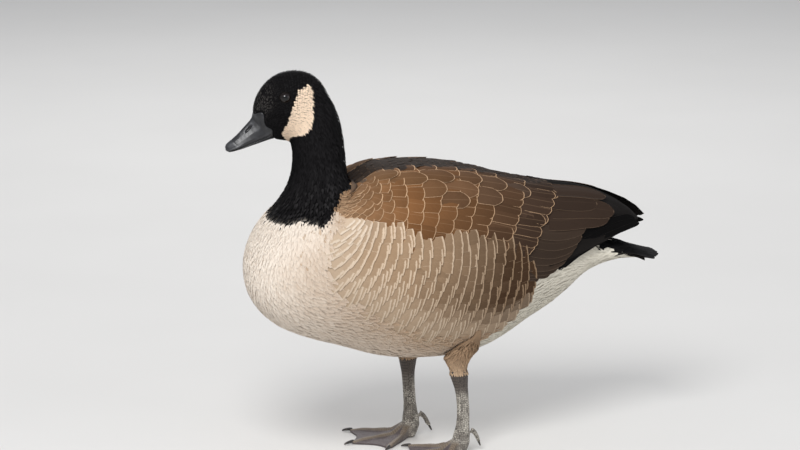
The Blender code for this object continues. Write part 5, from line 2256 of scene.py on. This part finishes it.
@dataclass
class Wing:
    """The quills of one folded wing over its core."""

    side: str
    finishes: Finishes
    seed: int = 5
    core_start: float = 0.112
    core_shorter: float = 0.008

    PRIMARY = QuillKind(0.0085, -0.0012, 0.00018, (0.0040, 0.0037, 0.0038), (0.030, 0.026, 0.024), 0.0003,
                        0.42, 0.5, 0.020, 0.003, (0.85, 1.15))
    SECONDARY = QuillKind(0.0095, 0.0007, 0.00004, (0.043, 0.029, 0.021), (0.180, 0.125, 0.085), 0.0006,
                          0.16, 0.5, 0.055, 0.0048, (0.9, 1.1))
    TERTIAL = QuillKind(0.0135, 0.0019, 0.00012, (0.036, 0.023, 0.0165), (0.180, 0.120, 0.080), 0.0007,
                        0.22, 0.6, 0.040, 0.0062, (0.9, 1.12))
    # Places as station and degrees from the back line, lowest quill first.
    PRIMARY_TIPS = ((25.50, 101), (26.10, 96), (26.80, 89), (27.30, 80), (27.62, 58), (27.98, 70))
    SECONDARY_TIPS = ((23.45, 98), (23.99, 98), (24.32, 97), (24.61, 95), (24.79, 91), (24.86, 87),
                      (24.97, 81), (25.04, 73))
    SECONDARY_ROOTS = (90, 87, 84, 80, 75, 69, 63, 57)
    TERTIALS = (((21.4, 50), (26.02, 65)), ((21.6, 42), (26.23, 55)), ((21.6, 33), (25.40, 46)),
                ((21.4, 22), (25.91, 29)))
    # Beyond this station the right wing runs on further than the left.
    REAR_START = 24.0
    REAR_REACH = {"left": 1.0, "right": 1.20}

    def __post_init__(self) -> None:
        self.rng = np.random.default_rng(self.seed)
        outer = wing_surface(self.side)
        self.ground = Surface(outer.stations, outer.angles, outer.points - outer.normals * 0.0024, False)
        self.tree = self.ground.tree()

    def facing(self, point: Vector) -> np.ndarray:
        """The wing's outward direction near a point.

        Args:
            point: The point.

        Returns:
            A vector of length 1.
        """
        _, normal, _, _ = self.tree.find_nearest(point)
        result = np.array(normal)
        outward = np.array([0.0, SIDES[self.side], 0.35])
        return result if result @ outward > 0 else -result

    def line(self, places: Sequence[tuple[float, float]]) -> np.ndarray:
        """Points on the wing through (station, degrees) places.

        Args:
            places: Stations with degrees.

        Returns:
            Points, one row each.
        """
        path = curve_through(places, np.linspace(0, len(places) - 1, 9))
        beyond = np.maximum(path[:, 0] - self.REAR_START, 0.0)
        station = path[:, 0] + beyond * (self.REAR_REACH[self.side] - 1.0)
        return self.ground.read(self.ground.points, station, np.radians(path[:, 1]))

    def quill_places(self) -> list[tuple[QuillKind, list]]:
        """The kinds of quill from the lowest up, each with the places its shafts run through.

        Returns:
            Each kind with its quills' places.
        """
        primaries = [((23.4, 94.0 - 2.0 * k), ((23.4 + tip[0]) / 2, (tip[1] + 101) / 2 + 3), tip)
                     for k, tip in enumerate(self.PRIMARY_TIPS)]
        secondaries = [((21.2, root - 3), (23.0, root + (tip[1] - root) * 0.45), tip)
                       for tip, root in zip(self.SECONDARY_TIPS, self.SECONDARY_ROOTS)]
        tertials = [(root, ((root[0] + tip[0]) / 2, (root[1] + tip[1]) / 2), tip)
                    for root, tip in self.TERTIALS]
        return [(self.PRIMARY, primaries), (self.SECONDARY, secondaries), (self.TERTIAL, tertials)]

    def quills(self) -> bpy.types.Object:
        """Primaries, secondaries and tertials, from the lowest layer up.

        Returns:
            The piece.
        """
        stack = VaneStack(self.tree, self.facing, (6, 5))
        for kind, shafts in self.quill_places():
            for number, places in enumerate(shafts):
                tone = float(self.rng.uniform(*kind.tones))
                stack.add(kind.vane(self.line(places), number, tone, SIDES[self.side]))
        return stack.build(f"quills_{self.side}", self.finishes.feather)

    def core(self) -> bpy.types.Object:
        """The closed wing behind the trunk, a little inside its outline, that backs the quills.

        Returns:
            The piece.
        """
        work = welded(f"wing_{self.side}")
        cut = bmesh.ops.bisect_plane(work, geom=work.verts[:] + work.edges[:] + work.faces[:],
                                     plane_co=(self.core_start, 0, 0), plane_no=(1, 0, 0), clear_inner=True)
        bmesh.ops.holes_fill(work, edges=[e for e in cut["geom_cut"] if isinstance(e, bmesh.types.BMEdge)])
        bmesh.ops.recalc_face_normals(work, faces=work.faces)
        work.normal_update()
        outward = Vector((0.0, SIDES[self.side], 0.5)).normalized()
        swell(work, lambda vert: -0.0040 if vert.normal.dot(outward) > 0.1 else -0.0008)
        long = max(vert.co.x for vert in work.verts) - self.core_start
        for vert in work.verts:
            shorter = self.core_start + (vert.co.x - self.core_start) * (1.0 - self.core_shorter / long)
            vert.co.x = min(vert.co.x, shorter)
        obj = piece_from(work, f"wing_core_{self.side}", self.finishes.skin)
        set_values(obj.data, "skin_colour", np.tile((0.016, 0.014, 0.013), (len(obj.data.vertices), 1)))
        return obj


@dataclass
class Tail:
    """The folded fan of black tail feathers."""

    finishes: Finishes
    count: int = 11
    half_width: float = 0.0088
    start: tuple[float, float] = (0.2270, 0.0300)
    crown: float = 0.0040
    core_shorter: float = 0.024
    core_narrower: float = 0.14
    seed: int = 8

    def core(self) -> bpy.types.Object:
        """The tail's solid middle, a little inside its outline and shorter than the vanes.

        Returns:
            The piece.
        """
        work = welded("tail")
        swell(work, lambda vert: -0.0007)
        start, end = (pick(vert.co.x for vert in work.verts) for pick in (min, max))
        for vert in work.verts:
            share = (vert.co.x - start) / (end - start)
            vert.co.x -= share * self.core_shorter
            vert.co.y *= 1.0 - self.core_narrower * share
        obj = piece_from(work, "tail_core", self.finishes.skin)
        set_values(obj.data, "skin_colour", np.tile((0.008, 0.008, 0.009), (len(obj.data.vertices), 1)))
        return obj

    def fan(self) -> tuple[bpy.types.Object, bpy.types.Object]:
        """Vanes bent over the top and the underside, the middle one outermost.

        Returns:
            The upper and the lower piece.
        """
        tree = node_tree_of("tail", "trunk")
        points = node_points("tail")
        tip_x = float(points[:, 0].max())
        tip_z = float(points[points[:, 0] > tip_x - 0.004, 2].mean())
        rng = np.random.default_rng(self.seed)
        shares = sorted((float(share) for share in np.linspace(-1.0, 1.0, self.count)), key=abs, reverse=True)
        stacks = {}
        for sign in (-1.0, 1.0):
            stack = VaneStack(tree, lambda point, up=sign: np.array([0.0, 0.0, up]), (4, 4), 9, 26)
            for k, share in enumerate(shares):
                end_x = tip_x - 0.0008 - 0.0170 * share**2 - float(rng.uniform(0.0, 0.0050))
                start_y, end_y = share * self.start[1], share * (0.0425 - self.half_width * 0.72)
                start_z = 0.2535 if sign > 0 else 0.2320
                start = np.array([self.start[0] - 0.004 * share**2, start_y, start_z])
                end = np.array([end_x, end_y, tip_z - self.crown * share**2])
                tone = float(rng.uniform(0.8, 1.25))
                tilt = -0.020 if share * sign > 0 else 0.020
                line = np.array([start, (start + end) / 2, end])
                colour = (0.0100 * tone, 0.0096 * tone, 0.0102 * tone)
                stack.add(Vane(line, self.half_width, -0.0003 + 0.00006 * k, colour, (0.034, 0.030, 0.028),
                               rim=0.0004, point=0.34, shaft=0.5, tilt=tilt, sunk=0.0032, side_rim=1.5))
            stacks[sign] = stack
        return (stacks[1.0].build("tail_fan_top", self.finishes.feather),
                stacks[-1.0].build("tail_fan_under", self.finishes.feather))


@dataclass
class Bill:
    """Upper and lower bill as one horn with the mouth line, nostrils, nail and its ridges."""

    finishes: Finishes
    rows: int = 96
    columns: int = 150

    RINGS = ((-0.1975, 0.4475, -0.1720, 0.4165, 0.0140), (-0.2145, 0.4270, -0.2000, 0.4085, 0.0115),
             (-0.2325, 0.4110, -0.2240, 0.4010, 0.0090))
    MOUTH = ((-0.1765, 0.4235), (-0.1850, 0.4185), (-0.1960, 0.4140), (-0.2080, 0.4098), (-0.2200, 0.4058),
             (-0.2290, 0.4026))
    HORN_EDGE = ((0, 0.12), (26, 0.20), (47, 0.80), (60, 1.30), (69, 0.90), (79, 0.30), (97, 0.45),
                 (108, 1.05), (118, 0.60), (135, 0.15), (180, 0.10))
    COLLAR_ROWS = 10
    NOSTRIL = (-0.2040, 0.4312)
    SLIT = (0.0052, 0.0011)

    def collar(self, head: Surface, angles: np.ndarray) -> np.ndarray:
        """Rows of horn that reach back over the face, from their edge forward.

        Args:
            head: The head's outer surface.
            angles: The columns' angles in radians.

        Returns:
            A grid of points, rearmost row first.
        """
        degrees = np.degrees(angles)
        edge = table_value(self.HORN_EDGE, np.minimum(degrees, 360.0 - degrees))
        edge = np.convolve(np.concatenate([edge[-3:], edge, edge[:3]]), np.ones(7) / 7, "valid")
        rows = []
        for k in range(self.COLLAR_ROWS):
            station = 0.10 + (np.maximum(edge, 0.12) - 0.10) * (1 - k / self.COLLAR_ROWS)
            lift = -0.0010 if k == 0 else 0.00025
            outward = head.read(head.normals, station, angles)
            rows.append(head.read(head.points, station, angles) + outward * lift)
        return np.array(rows)

    def build(self, head: Surface) -> bpy.types.Object:
        """The bill's mesh, set on the head's surface.

        Args:
            head: The head's outer surface.

        Returns:
            The piece.
        """
        guide = RingGuide(np.array(self.RINGS), ("bill_upper", "bill_lower"))
        stations = np.linspace(0.03, 1.74, self.rows)
        angles = np.arange(self.columns) * FULL_TURN / self.columns
        middle, rays, reach = guide.cast(stations, angles, False)
        reach = filled(reach, angles, 9, FULL_TURN)
        tips = self._tip(guide, middle[-1], rays[-1], unit(middle[-1] - middle[-6]))
        horn = (middle[:, None] + rays * reach[:, :, None])[2:]
        points = blurred(np.vstack([self.collar(head, angles), horn, tips]), 3, True)
        stations = np.concatenate([np.linspace(-0.4, 0.0, self.COLLAR_ROWS), stations[2:],
                                   np.linspace(1.76, 2.0, len(tips))])
        surface = Surface(stations, angles, points, True)
        depth, pale = self._details(self._drawn(points), stations, angles)
        points = points + surface.normals * depth[:, :, None]
        base, before, tip = (points[row].mean(axis=0) for row in (0, -2, -1))
        verts, faces = capped_grid(points, (base, tip + (tip - before) * 0.3))
        obj = new_piece("bill", verts, faces, self.finishes.bill)
        # The paleness carries painted shade in the nostril pits and the mouth's cleft.
        set_values(obj.data, "pale", np.concatenate([pale.ravel(), [0.0, 0.3]]))
        fix_normals(obj)
        return obj

    @staticmethod
    def _tip(guide: RingGuide, middle: np.ndarray, rays: np.ndarray, ahead: np.ndarray) -> np.ndarray:
        """Rows that turn from the last ring's plane to the tip, each cast from that ring's middle.

        Args:
            guide: The bill's rings.
            middle: The last ring's middle.
            rays: Its rays.
            ahead: The direction that the bill points in.

        Returns:
            A grid of points, foremost row last.
        """
        size = float(np.linalg.norm(rays, axis=1).mean())
        rows = []
        for turn in np.radians(np.linspace(7.0, 84.0, 18)):
            aims = rays * math.cos(turn) + ahead * size * math.sin(turn)
            reach = np.array([[guide.reach(middle, aim, False) for aim in aims]])
            reach = filled(reach, np.arange(len(aims)), 1, len(aims))[0]
            rows.append(middle + aims * reach[:, None])
        return np.array(rows)

    @staticmethod
    def _drawn(points: np.ndarray) -> np.ndarray:
        """The same points before the head's turn, in the drawing's frame.

        Args:
            points: The grid.

        Returns:
            The turned grid.
        """
        moved = points - DRAWING_SHIFT - np.array([NECK_AXIS_X, 0.0, 0.0])
        cos, sin = math.cos(HEAD_TURN), math.sin(HEAD_TURN)
        x, y, z = moved[..., 0], moved[..., 1], moved[..., 2]
        return np.stack([cos * x - sin * y + NECK_AXIS_X, sin * x + cos * y, z], axis=-1)

    def _nostril(self, x: np.ndarray, z: np.ndarray) -> tuple[np.ndarray, np.ndarray, np.ndarray]:
        """The nostril's slit, the rim round it and the hollow that both lie in.

        Args:
            x: Lengths in the drawing's frame.
            z: Heights in it.

        Returns:
            Three patterns from 0 to 1.
        """
        away = np.stack([x - self.NOSTRIL[0], z - self.NOSTRIL[1]], axis=-1)
        along, across = away @ np.array([-0.69, -0.72]), away @ np.array([-0.72, 0.69])
        long, wide = self.SLIT
        pit = np.exp(-((along / long)**4 + (across / wide)**4))
        rim = np.exp(-((along / (long * 1.35))**4 + (across / (wide * 2.1))**4)) - pit
        basin = np.exp(-((along / 0.0095)**2 + (across / 0.0040)**2))
        return pit, rim, basin

    def _details(self, drawn: np.ndarray, stations: np.ndarray,
                 angles: np.ndarray) -> tuple[np.ndarray, np.ndarray]:
        """How far each point of the bill is raised or sunk, where it is paler, and where it is darker as
        painted shade.

        Args:
            drawn: The points in the drawing's frame.
            stations: The rows' stations.
            angles: The columns' angles in radians.

        Returns:
            Heights in metres, and paleness.
        """
        x, z = drawn[..., 0], drawn[..., 2]
        mouth = np.array(self.MOUTH)
        off = z - np.interp(-x, -mouth[:, 0], mouth[:, 1])
        sides = smoothstep(np.abs(drawn[..., 1]), 0.0015, 0.0040)
        reach = smoothstep(-x, 0.1770, 0.1800)
        cleft = np.exp(-(off / 0.00060)**2) * reach * (1 - smoothstep(-x, 0.2255, 0.2290))
        lip = np.exp(-((off - 0.0019) / 0.0011)**2) * reach
        teeth = np.exp(-((off + 0.0016) / 0.0011)**2) * np.sin((x * 0.93 + z * 0.37) * FULL_TURN / 0.0016)
        toothed = sides * smoothstep(-x, 0.1800, 0.1880) * (1 - smoothstep(-x, 0.2180, 0.2250))
        pit, rim, basin = self._nostril(x, z)
        above = np.cos(angles)[None]
        nail = smoothstep(stations, 1.50, 1.66)[:, None] * (above > 0.1)
        edge = np.exp(-((stations[:, None] - 1.58) / 0.035)**2) * (above > 0.0)
        depth = -0.00135 * cleft + 0.00030 * lip + 0.00013 * teeth * toothed
        depth += (-0.00170 * pit + 0.00018 * rim - 0.00060 * basin) * sides
        depth += 0.00010 * nail - 0.00022 * edge
        pale = np.clip(0.50 * lip + 0.30 * rim * sides + 0.25 * nail, 0.0, 1.0)
        # The nostril pits and the mouth's cleft are painted darker as shade.
        return depth, pale - 1.2 * pit * sides - 1.4 * cleft


@dataclass
class Leg:
    """Bare leg, webbed foot and hind toe as one scaly skin, with claws of their own."""

    side: str
    finishes: Finishes
    voxel: float = 0.0009

    ANKLE = {"left": (-0.0030, -0.053), "right": (-0.0300, 0.053)}
    TOE_ANGLES = {"inner": -38.0, "middle": 0.0, "outer": 43.0}
    TOE_OUT = -7.0

    def skin(self) -> bpy.types.Object:
        """The scaly skin.

        Returns:
            The piece.
        """
        work = welded(f"leg_{self.side}", f"foot_{self.side}")
        hind_toe_start = len(work.verts)
        append(work, welded(f"hind_toe_{self.side}"))
        work.verts.ensure_lookup_table()
        work.normal_update()
        swell(work, lambda vert: 0.00022 if vert.index < hind_toe_start else 0.0021)
        obj = piece_from(work, f"leg_skin_{self.side}", self.finishes.leg)
        remesh = obj.modifiers.new("remesh", "REMESH")
        remesh.mode = "VOXEL"
        remesh.voxel_size = self.voxel
        remesh.use_smooth_shade = True
        smooth = obj.modifiers.new("smooth", "SMOOTH")
        smooth.iterations = 5
        smooth.factor = 0.5
        applied(obj)
        self._round_heel(obj)
        self._scales(obj.data)
        obj.data.materials.clear()
        obj.data.materials.append(self.finishes.leg.material())
        obj.data.shade_smooth()
        return obj

    def _round_heel(self, obj: bpy.types.Object) -> None:
        """Narrows and smooths the foot behind the ankle.

        Args:
            obj: The skin's object.
        """
        heel = obj.vertex_groups.new(name="heel")
        ankle = Vector((*self.ANKLE[self.side], 0.0))
        for vert in obj.data.vertices:
            away = (vert.co - ankle).xy.length
            weight = (1 - smoothstep(away, 0.014, 0.030)) * (1 - smoothstep(vert.co.z, 0.030, 0.045))
            if weight > 0.01:
                heel.add([vert.index], float(weight), "REPLACE")
            low = max(0.0, 1.0 - vert.co.z / 0.021)
            behind = float(smoothstep(vert.co.x - ankle.x, -0.006, 0.006) * (away < 0.022))
            share = behind * low**1.4
            front = ankle.x - 0.006
            vert.co.x = front + (vert.co.x - front) * (1.0 - 0.42 * share)
            vert.co.y = ankle.y + (vert.co.y - ankle.y) * (1.0 - 0.25 * share)
        smooth = obj.modifiers.new("round_heel", "SMOOTH")
        smooth.iterations, smooth.factor, smooth.vertex_group = 40, 0.5, heel.name
        applied(obj)

    def _toes(self, points: np.ndarray) -> tuple[np.ndarray, np.ndarray, np.ndarray]:
        """Distance from the nearest toe's line, place along it, and which toe it is.

        Args:
            points: Points, one row each.

        Returns:
            Distances, places along it and toe numbers.
        """
        ankle = np.array(self.ANKLE[self.side])
        away = points[:, :2] - ankle
        best = np.full(len(points), math.inf)
        along, which = np.zeros(len(points)), np.zeros(len(points))
        for k, angle in enumerate(self.TOE_ANGLES.values()):
            turn = math.radians(angle + self.TOE_OUT)
            direction = np.array([-math.cos(turn), SIDES[self.side] * math.sin(turn)])
            t = away @ direction
            off = np.abs(away @ np.array([-direction[1], direction[0]]))
            off = np.where(t < 0, np.linalg.norm(away, axis=1), off)
            nearer = off < best
            best = np.where(nearer, off, best)
            along = np.where(nearer, t, along)
            which = np.where(nearer, k, which)
        return best, along, which

    def _scales(self, mesh: bpy.types.Mesh) -> None:
        """Raises the toes over the web, and stores where toes, web and shank are for the scale pattern.

        Args:
            mesh: The skin's mesh.
        """
        count = len(mesh.vertices)
        points, normals = np.empty(count * 3), np.empty(count * 3)
        mesh.vertices.foreach_get("co", points)
        mesh.vertices.foreach_get("normal", normals)
        points, normals = points.reshape(-1, 3), normals.reshape(-1, 3)
        x, y = self.ANKLE[self.side]
        around = np.arctan2(points[:, 1] - y, -(points[:, 0] - x + 0.002))
        off, along, which = self._toes(points)
        ahead = smoothstep(along, 0.004, 0.010)
        on_toe = (1 - smoothstep(off, 0.0040, 0.0056)) * smoothstep(normals[:, 2], -0.2, 0.3) * ahead
        high = smoothstep(points[:, 2], 0.014, 0.020)
        knuckle = np.cos((along + 0.004 * which) * FULL_TURN / 0.0235)
        flat = smoothstep(points[:, 2], 0.0010, 0.0025)
        lift = on_toe * (1 - high) * (0.00030 + 0.00022 * knuckle) * flat
        moved = points + normals * lift[:, None]
        moved[:, 2] = np.maximum(moved[:, 2], 0.0)
        mesh.vertices.foreach_set("co", moved.ravel())
        mesh.update()
        set_values(mesh, "on_toe", on_toe * (1 - high))
        set_values(mesh, "toe_along", along + 0.0012 * which)
        set_values(mesh, "front", smoothstep(np.cos(around), 0.45, 0.80) * high)
        set_values(mesh, "web", np.clip((1 - on_toe) * (1 - high) * smoothstep(along, 0.008, 0.020), 0, 1))
        set_values(mesh, "up_leg", np.clip((points[:, 2] - 0.010) / 0.095, 0, 1))

    def claws(self) -> bpy.types.Object:
        """The four claws, smoothed.

        Returns:
            The piece.
        """
        work = bmesh.new()
        for toe in TOES:
            claw = welded(f"claw_{self.side}_{toe}")
            points = np.array([vert.co[:] for vert in claw.verts])
            home = np.array([*self.ANKLE[self.side], 0.045 if toe == "hind" else 0.004])
            away = np.linalg.norm(points - home, axis=1)
            base, tip = points[np.argsort(away)[:6]].mean(axis=0), points[np.argmax(away)]
            along = (points - base) @ unit(tip - base) / np.linalg.norm(tip - base)
            back = unit(base - tip) * 0.0048
            for vert, share in zip(claw.verts, along):
                vert.co += Vector(back) * float(1 - smoothstep(share, 0.05, 0.75))
            append(work, claw)
        swell(work, lambda vert: 0.0003)
        obj = piece_from(work, f"claws_{self.side}", self.finishes.claw)
        modifier = obj.modifiers.new("round", "SUBSURF")
        modifier.levels = modifier.render_levels = 2
        return applied(obj)


@dataclass
class Eye:
    """One eyeball with its iris and pupil."""

    side: str
    finishes: Finishes
    frame_of: dict
    bulge: float = 0.035

    def build(self) -> bpy.types.Object:
        """The eyeball's mesh, with each vertex's angle from the pupil.

        Returns:
            The piece.
        """
        polar = np.linspace(0.0, math.pi, 40)[1:-1]
        turns = np.linspace(0.0, FULL_TURN, 64, endpoint=False)
        out, ahead, up = (self.frame_of[k] for k in ("out", "ahead", "up"))
        bulge = 1.0 + self.bulge * (1 - smoothstep(polar, 0.25, 0.75))
        ring = (np.cos(polar)[:, None, None] * out + np.sin(polar)[:, None, None]
                * (np.cos(turns)[None, :, None] * ahead + np.sin(turns)[None, :, None] * up))
        middle = self.frame_of["middle"]
        points = middle + ring * (EYE_RADIUS * bulge)[:, None, None]
        ends = (middle + out * EYE_RADIUS * (1.0 + self.bulge), middle - out * EYE_RADIUS)
        verts, faces = capped_grid(points, ends)
        obj = new_piece(f"eyeball_{self.side}", verts, faces, self.finishes.eye)
        set_values(obj.data, "polar", np.concatenate([np.repeat(polar, len(turns)), [0.0, math.pi]]))
        fix_normals(obj)
        return obj


class Light(Enum):
    """Soft studio lights: place, target, size and power."""

    KEY = ((-1.5, -2.0, 2.6), (0.0, 0.0, 0.25), 1.5, 92.0)
    FILL = ((2.6, -2.2, 1.2), (0.0, 0.0, 0.25), 2.4, 14.0)
    RIM = ((0.8, 2.4, 2.2), (0.0, 0.0, 0.30), 1.8, 34.0)


def aimed(name: str, data: bpy.types.ID, place: Vector, ahead: Vector) -> bpy.types.Object:
    """A light or camera at a place that looks ahead.

    Args:
        name: The object's name.
        data: The light or camera.
        place: Where it stands.
        ahead: The direction it looks in.

    Returns:
        The linked object.
    """
    obj = linked(name, data)
    obj.location = place
    obj.rotation_mode = "QUATERNION"
    obj.rotation_quaternion = ahead.to_track_quat("-Z", "Y")
    return obj


@dataclass
class Studio:
    """Floor, lights, world and camera."""

    finishes: Finishes
    azimuth: float = -22.0
    elevation: float = 12.4
    distance: float = 6.0
    frame_width: float = 1.028
    floor_half: float = 30.0
    target: tuple[float, float, float] = (-0.0665, 0.0, 0.2965)

    def build(self) -> None:
        """Sets the whole stage."""
        half, under = self.floor_half, -0.0002
        corners = [(x * half, y * half, under) for x, y in ((-1, -1), (1, -1), (1, 1), (-1, 1))]
        floor = new_piece("floor", np.array(corners), [[0, 1, 2, 3]], self.finishes.floor, False)
        for light in Light:
            place, target, width, power = light.value
            lamp = bpy.data.lights.new(light.name.lower(), "AREA")
            lamp.shape, lamp.size, lamp.energy = "DISK", width, power
            obj = aimed(lamp.name, lamp, Vector(place), Vector(target) - Vector(place))
        world = bpy.data.worlds.new("studio")
        world.use_nodes = True
        background = world.node_tree.nodes["Background"]
        background.inputs["Color"].default_value = (0.93, 0.95, 1.0, 1.0)
        background.inputs["Strength"].default_value = 0.58
        bpy.context.scene.world = world
        bpy.context.scene.view_settings.view_transform = "Standard"
        self._camera()

    def _camera(self) -> None:
        """A camera at the photo's viewing angle."""
        a, e = math.radians(self.azimuth), math.radians(self.elevation)
        back = Vector((math.sin(a) * math.cos(e), -math.cos(a) * math.cos(e), math.sin(e)))
        data = bpy.data.cameras.new("camera")
        data.sensor_width = 36.0
        data.lens = data.sensor_width * self.distance / self.frame_width
        place = Vector(self.target) + back * self.distance
        bpy.context.scene.camera = aimed("camera", data, place, -back)


class Goose:
    """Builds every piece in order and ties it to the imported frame."""

    def __init__(self) -> None:
        self.finishes = Finishes()
        self.body = Body(self.finishes)
        self.thighs = {side: Thigh(side, self.finishes) for side in SIDES}

    def keep(self, obj: bpy.types.Object, slot: str, *nodes: str) -> None:
        """Ties a finished piece to the frame and reports it.

        Args:
            obj: The piece.
            slot: The name of its material slot, which is only logged.
            nodes: The CAD nodes that it replaces.
        """
        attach(obj, "root")
        if nodes:
            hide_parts(*nodes)
        triangles = sum(polygon.loop_total - 2 for polygon in obj.data.polygons)
        log.info("%-22s %8d triangles, slot %s", obj.name, triangles, slot)

    def build_skin(self) -> None:
        """The one skin of head, neck, trunk and thighs."""
        skin = self.body.skin()
        fix_normals(skin)
        solids = [thigh.solid() for thigh in self.thighs.values()]
        for solid in solids:
            union = skin.modifiers.new("union", "BOOLEAN")
            union.operation, union.solver, union.object = "UNION", "EXACT", solid
        applied(skin)
        self._mark_thighs(skin)
        for solid in solids:
            bpy.data.objects.remove(solid)
        self.body.add_lids(skin)
        skin.data.shade_smooth()
        self.keep(skin, "body_plumage", "trunk", "neck", "head", "thigh_left", "thigh_right")

    def _mark_thighs(self, skin: bpy.types.Object) -> None:
        """Colours and maps the faces that the thighs brought to the skin.

        Args:
            skin: The skin's object.
        """
        mesh = skin.data
        colours, uv = mesh.attributes["skin_colour"].data, mesh.uv_layers["OFBake"].data
        body = self.body.ground.tree()
        for thigh in self.thighs.values():
            ground, tree = thigh.ground, thigh.ground.tree()
            corners = ground.points.reshape(-1, 3)
            low, high = corners.min(axis=0) - 0.002, corners.max(axis=0) + 0.002
            for polygon in mesh.polygons:
                centre = polygon.center
                if not all(low[i] < centre[i] < high[i] for i in range(3)):
                    continue
                distance = tree.find_nearest(centre)[3]
                if distance > 0.0004 or body.find_nearest(centre)[3] < distance:
                    continue
                for k in polygon.loop_indices:
                    vertex = mesh.loops[k].vertex_index
                    face = tree.find_nearest(mesh.vertices[vertex].co)[2]
                    row, column = divmod(face, len(ground.angles))
                    station = ground.stations[[row]]
                    uv[k].uv = thigh.uv(station, np.degrees(ground.angles[[column]]))[0]
                    colours[vertex].color = (*thigh.colour(station)[0], 1.0)

    def build_coat(self) -> None:
        """All the feathers on the skin."""
        grower = FeatherGrower(self.body.ground, self.finishes.feather)
        pieces = (
            ("head_feathers", self.body.head_coat(), 3, 4, "black_plumage"),
            ("neck_feathers", self.body.neck_coat(), 3, 4, "black_plumage"),
            ("breast_feathers", self.body.soft_coat(11.0, 16.4), 4, 4, "body_plumage"),
            ("belly_feathers", self.body.soft_coat(16.5, 24.4), 4, 4, "body_plumage"),
            ("flank_feathers", self.body.flank_coat(), 7, 8, "body_plumage"),
            ("vent_feathers", self.body.vent_coat(), 4, 5, "body_plumage"),
            ("wing_coverts", self.body.covert_coat(), 9, 11, "wing_plumage"),
            ("mantle_feathers", self.body.mantle_coat(), 5, 7, "wing_plumage"),
            ("scapulars", self.body.scapular_coat(), 9, 12, "wing_plumage"),
        )
        for seed, (name, plumage, across, along, slot) in enumerate(pieces):
            self.keep(grower.grow(name, plumage, across, along, seed + 1), slot)
        grower.close()
        for side, thigh in self.thighs.items():
            grower = FeatherGrower(thigh.ground, self.finishes.feather)
            coat = thigh.coat(self.body.rng)
            self.keep(grower.grow(f"thigh_feathers_{side}", coat, 4, 5, 20), "thigh_plumage")
            grower.close()

    def build_quills(self) -> None:
        """Wings and tail."""
        for side in SIDES:
            wing = Wing(side, self.finishes)
            self.keep(wing.core(), "wing_plumage", f"wing_{side}")
            self.keep(wing.quills(), "wing_plumage")
        tail = Tail(self.finishes)
        self.keep(tail.core(), "tail_plumage", "tail")
        for layer in tail.fan():
            self.keep(layer, "tail_plumage")

    def build_bare_parts(self) -> None:
        """Bill, eyes, legs and claws."""
        self.keep(Bill(self.finishes).build(self.body.outer), "bill_horn", "bill_upper", "bill_lower")
        for side in SIDES:
            eye = Eye(side, self.finishes, self.body.eyes[side])
            self.keep(eye.build(), "eye", f"eye_{side}")
            leg = Leg(side, self.finishes)
            self.keep(leg.skin(), "leg_skin", f"leg_{side}", f"foot_{side}", f"hind_toe_{side}")
            claws = [f"claw_{side}_{toe}" for toe in TOES]
            self.keep(leg.claws(), "claw_horn", *claws)


def main() -> None:
    """Builds the goose and its studio."""
    logging.basicConfig(level=logging.INFO, format="%(message)s")
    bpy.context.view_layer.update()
    goose = Goose()
    goose.build_skin()
    goose.build_coat()
    goose.build_quills()
    goose.build_bare_parts()
    Studio(goose.finishes).build()


if __name__ == "__main__":
    main()
